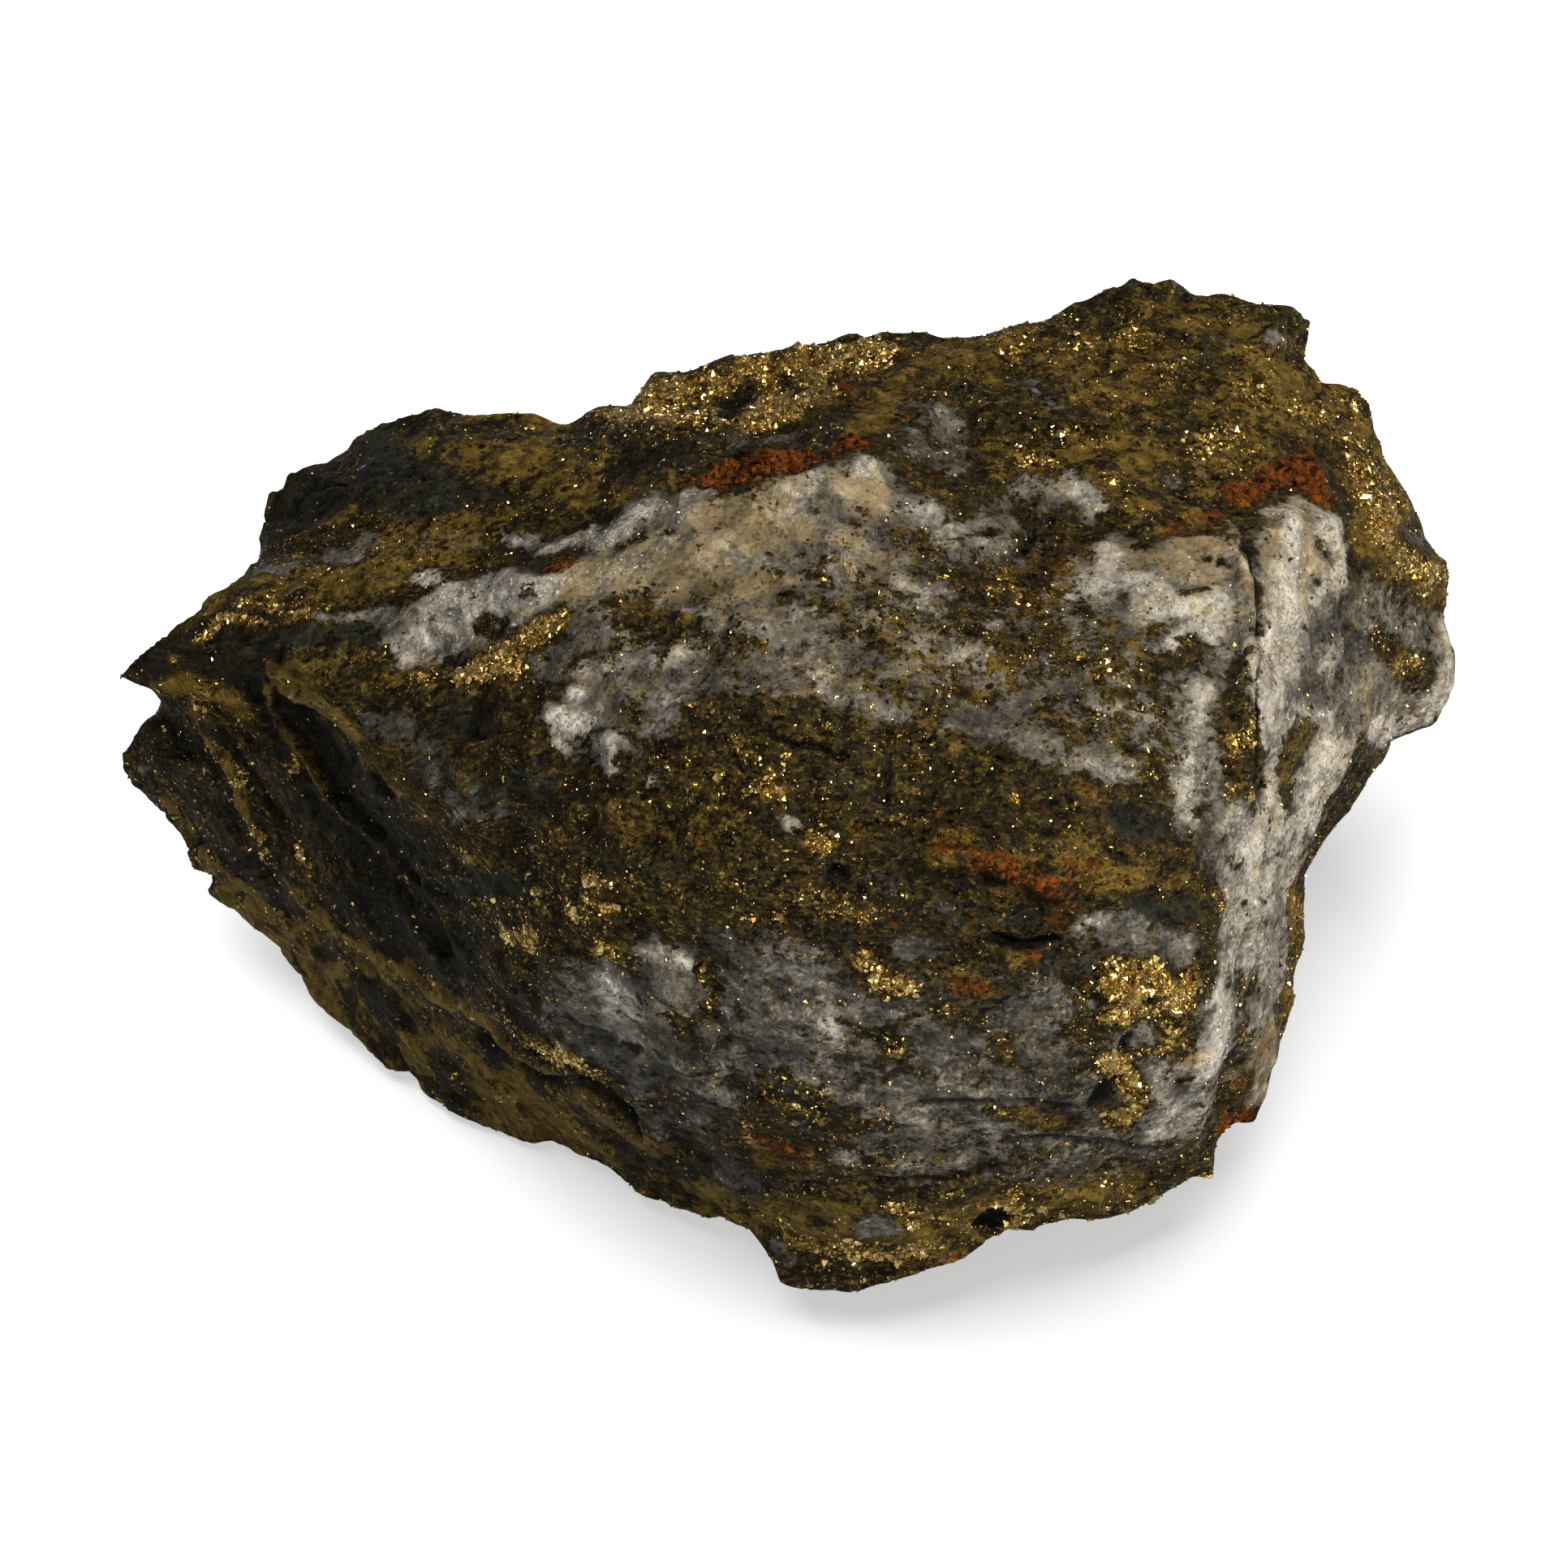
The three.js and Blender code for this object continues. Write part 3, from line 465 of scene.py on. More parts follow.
MIDDLE_MARKS = {
    "golden brown nose": mark(Paint.STREAKED, (370, 825, 18), (420, 830, 24), (480, 835, 20)),
    "bluish grey": mark(
        Paint.SMOKY, (460, 890, 22), (510, 900, 22), (540, 960, 24), (600, 990, 26), strength=0.75),
    "purple brown hollow": mark(Paint.DARK, (550, 890, 20), (585, 880, 22), (570, 905, 16), strength=0.75),
    "grey knob": mark(Paint.GREY, (560, 1000, 12), (560, 1010, 10)),
    "orange patches": marks(
        Paint.STAINED, ((610, 838, 8), (620, 836, 7)), ((1008, 922, 7),), ((1132, 975, 8), (1135, 985, 5))),
    "glinting patches": marks(
        Paint.GLINTING, ((870, 880, 16), (910, 900, 22), (940, 940, 22), (900, 960, 18), (960, 985, 18)),
        ((905, 1120, 14), (940, 1130, 16), (985, 1110, 12)),
        ((1085, 925, 12), (1100, 900, 10), (1125, 930, 9), (1150, 870, 14)),
        ((1160, 1020, 26), (1230, 1010, 26), (1290, 990, 20)),
        ((730, 1090, 20), (770, 1110, 24), (700, 1130, 16))),
    "rich gold, right": mark(Paint.GOLD, (1005, 1015, 14), (1015, 1040, 12), strength=0.75),
    "rich gold hearts": marks(
        Paint.GOLD, ((885, 890, 6), (900, 905, 7), (925, 915, 6)),
        ((940, 950, 6), (962, 982, 7)), strength=0.7),
    "white spot": mark(Paint.MILKY, (970, 1004, 11), (980, 1008, 9)),
    "orange patches, paler": marks(
        Paint.STAINED, ((880, 1008, 8), (892, 1014, 6)), ((1240, 992, 7), (1303, 1000, 8)), strength=0.8),
    "blue grey of the middle": mark(
        Paint.SLATE, (640, 960, 18), (700, 975, 16), (664, 1010, 18), strength=0.7),
    "blue grey of the middle, paler": marks(
        Paint.SLATE, ((720, 1050, 16), (780, 1070, 14), (860, 1080, 14)),
        ((1010, 960, 12), (1060, 980, 14)), strength=0.6),
    "orange smears": marks(
        Paint.OCHRE, ((1180, 912, 9), (1195, 910, 7)),
        ((1160, 1195, 9), (1185, 1210, 15), (1215, 1220, 14), (1235, 1225, 8))),
    "orange patch four": mark(Paint.STAINED, (1050, 1022, 9), (1075, 1018, 10), strength=0.9),
    "stained hollows": marks(
        Paint.STAINED, ((1310, 965, 12), (1345, 975, 10)),
        ((745, 1015, 12), (780, 1022, 14), (815, 1025, 10)), strength=0.7),
    "red brown zones": marks(
        Paint.STAINED,
        ((1120, 1060, 24), (1200, 1045, 30), (1300, 1060, 36), (1400, 1075, 32), (1470, 1080, 18)),
        ((1140, 1120, 16), (1220, 1130, 18), (1290, 1130, 16)),
        ((700, 1000, 18), (770, 1015, 26), (840, 1030, 24), (900, 1010, 20)), strength=0.4),
    "shade over the ledge": mark(
        Paint.SHADY_GROUND, (1180, 1000, 20), (1250, 1020, 26), (1330, 1040, 20), strength=0.6),
    "red brown rise": mark(Paint.STAINED, (1145, 1060, 9), (1160, 1042, 9), (1195, 1040, 9)),
    "red brown ledge": mark(
        Paint.STAINED, (1190, 1050, 11), (1225, 1062, 17), (1265, 1075, 19), (1300, 1090, 17),
        (1330, 1100, 12), strength=0.85),
    "ledge stain, right": mark(
        Paint.STAINED, (1330, 1072, 12), (1366, 1096, 14), (1398, 1104, 11), strength=0.7),
    "ledge shade": mark(
        Paint.DARK, (1212, 1076, 6), (1246, 1090, 7), (1282, 1104, 7), (1320, 1112, 6), strength=0.7),
    "rust of the ledge": mark(
        Paint.RUST, (1200, 1052, 9), (1228, 1064, 10), (1262, 1076, 12), (1294, 1090, 12), strength=0.55),
    "stained patches by the ledge": marks(
        Paint.STAINED, ((1158, 1046, 10), (1186, 1034, 12), (1214, 1040, 10)),
        ((1134, 1080, 8), (1152, 1092, 7)), strength=0.8),
    "rust below the ledge": mark(Paint.STAINED, (1290, 1118, 9), (1318, 1112, 10), (1342, 1094, 9)),
    "stained islands": marks(
        Paint.STAINED, ((1290, 1042, 9), (1310, 1050, 8)),
        ((1350, 1090, 7), (1368, 1086, 6)), strength=0.9),
    "slate by the ledge": mark(
        Paint.SLATE, (1176, 1086, 10), (1200, 1100, 12), (1222, 1116, 9), strength=0.8),
    "shade by the ledge": mark(Paint.SHADY_GROUND, (1100, 1040, 14), (1120, 1070, 16), (1100, 1100, 14)),
    "red brown ledge, low": mark(Paint.STAINED, (1230, 1110, 16), (1280, 1120, 18), (1290, 1140, 10)),
    "ochre ledge": mark(
        Paint.OCHRE, (1350, 1070, 12), (1400, 1074, 15), (1450, 1084, 14), (1475, 1092, 9), strength=0.8),
    "ochre ledge gaps": mark(
        Paint.SHADY_GROUND, (1366, 1058, 6), (1390, 1062, 6), (1425, 1076, 7), (1456, 1070, 7)),
    "ochre ledge stain": mark(
        Paint.STAINED, (1340, 1060, 12), (1375, 1085, 12), (1400, 1095, 9), strength=0.8),
    "orange rise": mark(Paint.STAINED, (1305, 1135, 8), (1325, 1110, 9), (1345, 1095, 8)),
    "ochre by the green": mark(Paint.OCHRE, (1310, 1030, 12), (1340, 1045, 12), strength=0.6),
    "slate patches": marks(
        Paint.SLATE, ((1380, 1010, 18), (1405, 1025, 22), (1430, 1010, 16)),
        ((1400, 1120, 16), (1440, 1115, 18), (1475, 1125, 14)),
        ((1235, 1135, 10), (1255, 1132, 12), (1275, 1140, 9))),
    "slate lens shade": mark(Paint.DARK, (1235, 1160, 6), (1265, 1165, 6), (1300, 1160, 4)),
    "rust under the lens": mark(Paint.STAINED, (1245, 1178, 8), (1275, 1180, 10)),
    "orange smear heart": mark(
        Paint.RUST, (1168, 1204, 7), (1198, 1214, 10), (1222, 1222, 6), strength=0.45),
    "grey between": marks(
        Paint.LOWER_QUARTZ, ((1070, 1082, 16), (1104, 1090, 18)),
        ((1150, 1116, 16), (1190, 1130, 14)), strength=0.6),
    "grey belt": mark(Paint.SMOKY, (1110, 1170, 14), (1160, 1170, 12)),
    "crystalline grey": mark(
        Paint.GREY, (1330, 1152, 18), (1370, 1146, 26), (1420, 1162, 28), (1462, 1170, 22)),
    "crystalline white flecks": marks(
        Paint.MILKY, ((1345, 1140, 6), (1362, 1132, 6)), ((1396, 1158, 7), (1412, 1168, 6)),
        ((1440, 1150, 6), (1466, 1172, 7)), strength=0.6),
    "crystalline smoky": mark(
        Paint.SMOKY, (1350, 1185, 12), (1410, 1140, 12), (1440, 1185, 14), strength=0.6),
}

LOWER_MARKS = {
    "left white quartz": mark(
        Paint.PALE, (735, 1190, 22), (750, 1230, 26), (780, 1262, 26), (740, 1280, 20)),
    "left white heart": mark(Paint.SNOW, (740, 1196, 8), (754, 1228, 9), (785, 1256, 9), strength=0.45),
    "left dark quartz": marks(
        Paint.SMOKY, ((712, 1176, 9), (722, 1222, 12), (728, 1258, 12), (752, 1296, 12)),
        ((792, 1206, 9), (812, 1226, 9), (806, 1276, 12))),
    "left white quartz, high": mark(Paint.GREY, (800, 1170, 18), (840, 1190, 22), (830, 1240, 26)),
    "middle white quartz": mark(
        Paint.LOWER_QUARTZ, (900, 1160, 20), (950, 1180, 26), (1000, 1190, 28), (1020, 1230, 26),
        (1000, 1270, 28), (1030, 1300, 22)),
    "middle white flecks": mark(
        Paint.PALE, (950, 1172, 11), (995, 1205, 12), (1018, 1250, 11), (1030, 1305, 9), strength=0.4),
    "middle white heart": mark(Paint.SNOW, (985, 1195, 8), (1022, 1240, 8), (1018, 1300, 9), strength=0.45),
    "high white heart": mark(Paint.SNOW, (812, 1160, 6), (834, 1176, 7), (842, 1206, 6), strength=0.4),
    "dark quartz": marks(
        Paint.SMOKY, ((878, 1150, 11), (900, 1172, 12), (958, 1206, 12), (990, 1232, 11)),
        ((930, 1225, 16), (965, 1250, 18), (935, 1290, 20), (985, 1310, 18)),
        ((1260, 1260, 20), (1290, 1290, 20), (1240, 1320, 16))),
    "dark quartz, paler": marks(
        Paint.SMOKY, ((1065, 1240, 18), (1090, 1290, 20), (1140, 1310, 18), (1190, 1330, 18)),
        ((1110, 1240, 20), (1150, 1280, 22), (1190, 1290, 18)), strength=0.8),
    "lens of olive": mark(Paint.GLINTING, (860, 1190, 10), (880, 1215, 12), (870, 1250, 10)),
    "smoky quartz": mark(
        Paint.SMOKY, (680, 1260, 24), (740, 1320, 30), (820, 1330, 36), (800, 1370, 30), (880, 1400, 30),
        (900, 1340, 30), strength=0.6),
    "glinting trails": marks(
        Paint.GLINTING, ((832, 1245, 6), (838, 1270, 6), (860, 1290, 6), (880, 1290, 5)),
        ((690, 1160, 10), (720, 1175, 10), (765, 1160, 14), (780, 1190, 12)),
        ((650, 1090, 14), (640, 1120, 12), (580, 1110, 10)),
        ((1085, 1275, 12), (1105, 1300, 14), (1120, 1315, 10))),
    "gold clusters": marks(
        Paint.GOLD, ((628, 1150, 10), (645, 1160, 12), (655, 1172, 8)),
        ((1160, 1240, 9), (1180, 1250, 14), (1210, 1255, 9))),
    "gold spots": marks(
        Paint.GOLD, ((648, 1285, 7), (680, 1300, 9), (720, 1320, 10), (745, 1318, 8)),
        ((1228, 1270, 10), (1235, 1295, 12), (1250, 1308, 8)), strength=0.85),
    "gold speckle": mark(
        Paint.GOLD, (1055, 1180, 12), (1075, 1200, 14), (1105, 1210, 14), (1125, 1215, 9), strength=0.82),
    "great gold fringe": mark(
        Paint.GLINTING, (1340, 1225, 16), (1380, 1200, 24), (1430, 1210, 26), (1400, 1250, 30),
        (1360, 1260, 20), (1460, 1255, 20)),
    "great gold": marks(
        Paint.GOLD, ((1360, 1210, 12), (1390, 1205, 18), (1425, 1205, 19), (1400, 1235, 22),
        (1370, 1250, 16), (1395, 1260, 15)), ((1430, 1230, 11), (1465, 1215, 15), (1462, 1235, 14)),
        ((1380, 1226, 12), (1404, 1250, 12), (1436, 1252, 10), (1456, 1228, 11)),
        ((1440, 1262, 9), (1455, 1275, 10), (1450, 1290, 12), (1420, 1295, 10), (1400, 1297, 8))),
    "great gold, top": mark(Paint.GOLD, (1372, 1196, 9), (1410, 1188, 9), (1440, 1196, 9), strength=0.9),
    "small glints by the gold": marks(
        Paint.GLINTING, ((1455, 1292, 9), (1475, 1287, 9)), ((1465, 1332, 8),)),
    "grey above the hole": mark(Paint.GREY, (1370, 1280, 10), (1395, 1275, 9), (1420, 1275, 9)),
    # Painted shade in the pit cut at the same place.
    "dark in the gold": mark(Paint.DARK, (1415, 1232, 8), (1422, 1236, 6)),
    "milky quartz in the gold": spots(Paint.MILKY, (1384, 1226, 4), (1441, 1247, 5), (1474, 1258, 7)),
    "pale quartz in the gold": marks(Paint.PALE, ((1408, 1270, 8), (1428, 1274, 6)), ((1354, 1236, 7),)),
    "stray gold": spots(
        Paint.GOLD, (1338, 1212, 7), (1354, 1190, 6), (1484, 1204, 7), (1334, 1250, 7), (1428, 1322, 7),
        (1342, 1328, 6), (1444, 1350, 6), (1352, 1396, 6), (1422, 1402, 5)),
    "paler gold": marks(
        Paint.GOLD, ((1340, 1270, 12), (1350, 1290, 10)),
        ((1010, 1555, 12), (1060, 1545, 12), (1110, 1555, 12), (1140, 1540, 10)), strength=0.7),
    "lower gold": marks(
        Paint.GOLD,
        ((1370, 1315, 14), (1400, 1330, 13), (1402, 1355, 12), (1385, 1380, 12), (1365, 1372, 10)),
        ((1382, 1326, 9), (1404, 1348, 8), (1390, 1376, 8))),
    "brown in the lower gold": mark(Paint.DARK, (1355, 1345, 9), (1375, 1340, 8), (1350, 1360, 7)),
    "white crumb": mark(Paint.SNOW, (1484, 1322, 6)),
    "cream lip low": mark(Paint.CREAM, (1455, 1312, 6), (1475, 1308, 7), (1490, 1300, 6)),
    "grey mottle": mark(Paint.PALE, (1430, 1330, 18), (1440, 1370, 22), (1480, 1360, 18), (1400, 1410, 14)),
    "grey mottle flecks": mark(
        Paint.MILKY, (1425, 1340, 7), (1448, 1372, 8), (1420, 1402, 7), strength=0.8),
    "olive lens": mark(Paint.OCHRE, (1235, 1372, 8), (1260, 1375, 10), (1290, 1382, 13), (1312, 1385, 12)),
    "olive lens gold": mark(Paint.GOLD, (1230, 1368, 8), (1240, 1372, 6)),
    "olive lens shade": mark(Paint.DARK, (1270, 1385, 3), (1295, 1372, 4), (1318, 1366, 4)),
    "dark olive mottle": mark(
        Paint.GLINTING, (960, 1350, 34), (1020, 1370, 30), (1080, 1390, 20), strength=0.65),
    "ochre patch": mark(Paint.OCHRE, (920, 1400, 14), (950, 1415, 22), (985, 1430, 20), strength=0.95),
    "ochre patch stain": mark(Paint.STAINED, (922, 1392, 12), (950, 1408, 17), (985, 1428, 14)),
    "ochre patch rust": mark(Paint.RUST, (924, 1396, 10), (952, 1412, 13), (982, 1430, 11), strength=0.2),
    "ochre patch grains": mark(Paint.GOLD, (915, 1392, 6), (930, 1390, 6), (912, 1420, 6), strength=0.8),
    "grey grain": mark(Paint.MOTTLED, (1040, 1420, 26), (1090, 1420, 22)),
    "laminated white": marks(
        Paint.PALE, ((1100, 1345, 12), (1150, 1345, 8), (1200, 1345, 8), (1260, 1350, 7)),
        ((1120, 1390, 8), (1145, 1378, 8)), ((1140, 1445, 6), (1175, 1435, 8), (1215, 1420, 8))),
    "laminated dark": mark(Paint.SMOKY, (1060, 1365, 12), (1130, 1368, 12), (1200, 1372, 10)),
    "laminated dark, low": mark(
        Paint.LOWER_QUARTZ, (1080, 1410, 14), (1160, 1408, 16), (1240, 1410, 16), (1320, 1410, 16),
        (1400, 1405, 14)),
    "laminated dark, lowest": mark(Paint.MOTTLED, (1100, 1450, 12), (1200, 1445, 12), (1300, 1430, 12)),
    "pale gold rim": mark(
        Paint.GOLD, (1245, 1465, 8), (1245, 1485, 9), (1262, 1495, 8), (1240, 1515, 10), (1215, 1525, 8)),
    # Painted shade in the rim pit.
    "rim pit": mark(Paint.DARK, (1208, 1512, 5), (1222, 1505, 8), (1238, 1500, 5)),
    "rim gold, upper": mark(Paint.GOLD, (1075, 1493, 8), (1110, 1487, 8), (1135, 1490, 7), strength=0.8),
    "rim grey": mark(Paint.GREY, (1060, 1515, 12), (1095, 1515, 12)),
    "rim ochre": mark(Paint.OCHRE, (945, 1480, 16), (1000, 1500, 16), (1070, 1470, 12)),
    "rim rust": mark(Paint.STAINED, (1165, 1547, 6), (1190, 1543, 6)),
    "rim tip": mark(Paint.GREY, (950, 1530, 14), (970, 1555, 16), strength=0.7),
    "left rim shade": mark(Paint.DARK, (780, 1430, 10), (830, 1435, 14), (860, 1445, 12), strength=0.75),
    "left rim ochre": mark(Paint.OCHRE, (780, 1405, 10), (820, 1412, 10)),
    "left rim grey": mark(Paint.SMOKY, (900, 1440, 20), (930, 1470, 18), strength=0.8),
}

LEFT_MARKS = {
    "tan tip": mark(Paint.STAINED, (140, 835, 7), (156, 832, 8), strength=0.6),
    "tip underside": mark(Paint.STREAKED, (160, 850, 7), (185, 868, 8), (200, 885, 8)),
    "tip shades": marks(
        Paint.DARK, ((175, 812, 14), (200, 802, 12)), ((290, 800, 14), (300, 830, 14), (315, 855, 10))),
    "shoulder gold": marks(
        Paint.GOLD, ((208, 820, 6), (222, 812, 5)),
        ((240, 785, 7), (262, 772, 6), (285, 756, 6), (325, 768, 6))),
    "shoulder tan": mark(Paint.OCHRE, (255, 740, 12), (290, 722, 14), (325, 710, 10), strength=0.8),
    "grey streaks": marks(
        Paint.GREY, ((318, 702, 7), (345, 702, 7)), ((365, 692, 9), (410, 688, 9), (447, 682, 8)),
        ((442, 668, 6), (458, 665, 6)), ((385, 757, 7), (408, 755, 7)), ((435, 760, 7), (475, 756, 8))),
    "grey streak six": mark(Paint.MILKY, (512, 708, 7), (545, 706, 7)),
    "green band": mark(Paint.SLATE, (350, 790, 14), (400, 785, 16), (450, 780, 14)),
    "tan patches": marks(
        Paint.OCHRE, ((410, 720, 12), (460, 718, 10)), ((565, 1210, 9), (595, 1230, 9)), strength=0.7),
    "left lilac quartz": mark(Paint.GREY, (165, 950, 8), (180, 950, 7), strength=0.8),
    "olive band": mark(Paint.OLIVE_BAND, (190, 842, 10), (236, 843, 14), (276, 856, 14), (307, 882, 11)),
    "olive band gold": marks(
        Paint.GOLD, ((236, 866, 5), (249, 877, 5)), ((312, 868, 5), (307, 887, 5)), strength=0.9),
    "trail under the band": mark(
        Paint.OLIVE_BAND, (232, 872, 8), (249, 903, 9), (265, 929, 7), (285, 955, 6)),
    "trail gold": mark(Paint.GOLD, (291, 956, 5), (291, 968, 5)),
    "trail, middle": mark(Paint.OLIVE_BAND, (291, 980, 6), (300, 1000, 6), (328, 1048, 8), (333, 1072, 7)),
    "trail, middle gold": mark(Paint.GOLD, (306, 1010, 4), (328, 1050, 5), (330, 1071, 4), strength=0.9),
    "brown blotch": mark(Paint.STAINED, (362, 1025, 10), (372, 1045, 12), (380, 1070, 9), strength=0.55),
    "brown blotch gold": mark(
        Paint.GOLD, (366, 1039, 5), (371, 1068, 4), (372, 1085, 5), (381, 1070, 4), strength=0.95),
    "brown of the hollow": mark(Paint.STAINED, (340, 890, 8), (335, 905, 8), strength=0.6),
    "brown of the hollow, low": mark(Paint.STAINED, (390, 1020, 14), (420, 1070, 14), strength=0.35),
    "inner ridge": mark(
        Paint.TAN_RIDGE, (330, 848, 6), (338, 872, 6), (349, 898, 7), (372, 929, 8), (391, 963, 8),
        (412, 989, 8), (433, 1010, 6)),
    "inner ridge gold": mark(Paint.GOLD, (359, 937, 4), (359, 955, 4)),
    "green facet": mark(Paint.SLATE, (362, 885, 12), (385, 900, 12), strength=0.6),
    "black facet": mark(Paint.DARK, (400, 905, 12), (420, 935, 14), (440, 975, 14)),
    "ridge one": mark(
        Paint.TAN_RIDGE, (333, 815, 5), (335, 832, 5), (349, 847, 6), (386, 863, 7), (412, 880, 9),
        (438, 908, 9), (464, 940, 9), (490, 974, 9), (516, 998, 8)),
    "ridge one speckle": mark(
        Paint.SHADY_GROUND, (455, 915, 7), (480, 945, 8), (505, 975, 8), strength=0.6),
    "nose bands": mark(Paint.OLIVE_BAND, (372, 822, 8), (420, 812, 8), (470, 808, 7), strength=0.9),
    "dark stripes": marks(
        Paint.DARK, ((385, 795, 6), (430, 790, 7), (465, 790, 6)),
        ((607, 1315, 10), (612, 1322, 8)), strength=0.9),
    "nose gold": mark(Paint.GOLD, (452, 810, 4), (468, 808, 4), (480, 811, 4), strength=0.9),
    "lens tan": mark(Paint.TAN_RIDGE, (565, 1063, 6), (600, 1060, 6), (635, 1065, 5), strength=0.7),
    "green lenses": marks(
        Paint.SLATE, ((545, 1088, 12), (600, 1090, 14), (650, 1090, 12)),
        ((310, 1085, 10), (335, 1105, 11), (350, 1120, 9)), strength=0.8),
    "hollow tan": mark(Paint.OCHRE, (505, 1185, 8), (540, 1180, 8), strength=0.6),
    "hollow speckle": mark(
        Paint.SHADY_GROUND, (470, 1050, 16), (510, 1080, 20), (560, 1130, 20), strength=0.8),
    "left face dark patches": marks(
        Paint.DARK, ((410, 1110, 18), (450, 1100, 20), (470, 1130, 16)), ((395, 1175, 11), (410, 1180, 9)),
        ((445, 1210, 13), (475, 1240, 14), (500, 1265, 10)), ((540, 1310, 9), (545, 1340, 9)),
        ((570, 1360, 7), (595, 1360, 6)), strength=0.8),
    "edge tan": mark(
        Paint.OLIVE_BAND, (205, 985, 6), (222, 1018, 6), (240, 1045, 6), (262, 1062, 6), (286, 1076, 6),
        (307, 1102, 5), strength=0.85),
    "edge tan, low": mark(Paint.OLIVE_BAND, (286, 1115, 7), (312, 1122, 8), (338, 1130, 8), (370, 1150, 9)),
    "ridge two": mark(
        Paint.TAN_RIDGE, (346, 1081, 4), (358, 1096, 5), (373, 1112, 5), (386, 1128, 5), (412, 1146, 5),
        (433, 1157, 5), (464, 1173, 5), (500, 1202, 5), (560, 1238, 5), (600, 1265, 5), (650, 1305, 5),
        (700, 1340, 5)),
    "white crumbs left": mark(Paint.SNOW, (452, 1144, 3), strength=0.9),
    "white crumb right of them": mark(Paint.SNOW, (467, 1154, 4.5)),
    # Painted shade along the left cracks.
    "left cracks": marks(
        Paint.DARK, ((600, 1285, 6), (625, 1297, 8), (645, 1310, 6)),
        ((660, 1334, 4), (700, 1338, 6), (745, 1352, 7), (768, 1372, 6), (780, 1395, 5))),
    "left face dark flecks": marks(
        Paint.DARK, ((291, 1104, 6), (300, 1108, 5)), ((333, 1140, 7), (345, 1145, 5)), strength=0.8),
    "left face gold": spots(Paint.GOLD, (570, 1320, 5), (555, 1331, 5), (620, 1353, 4), (543, 1356, 5)),
}

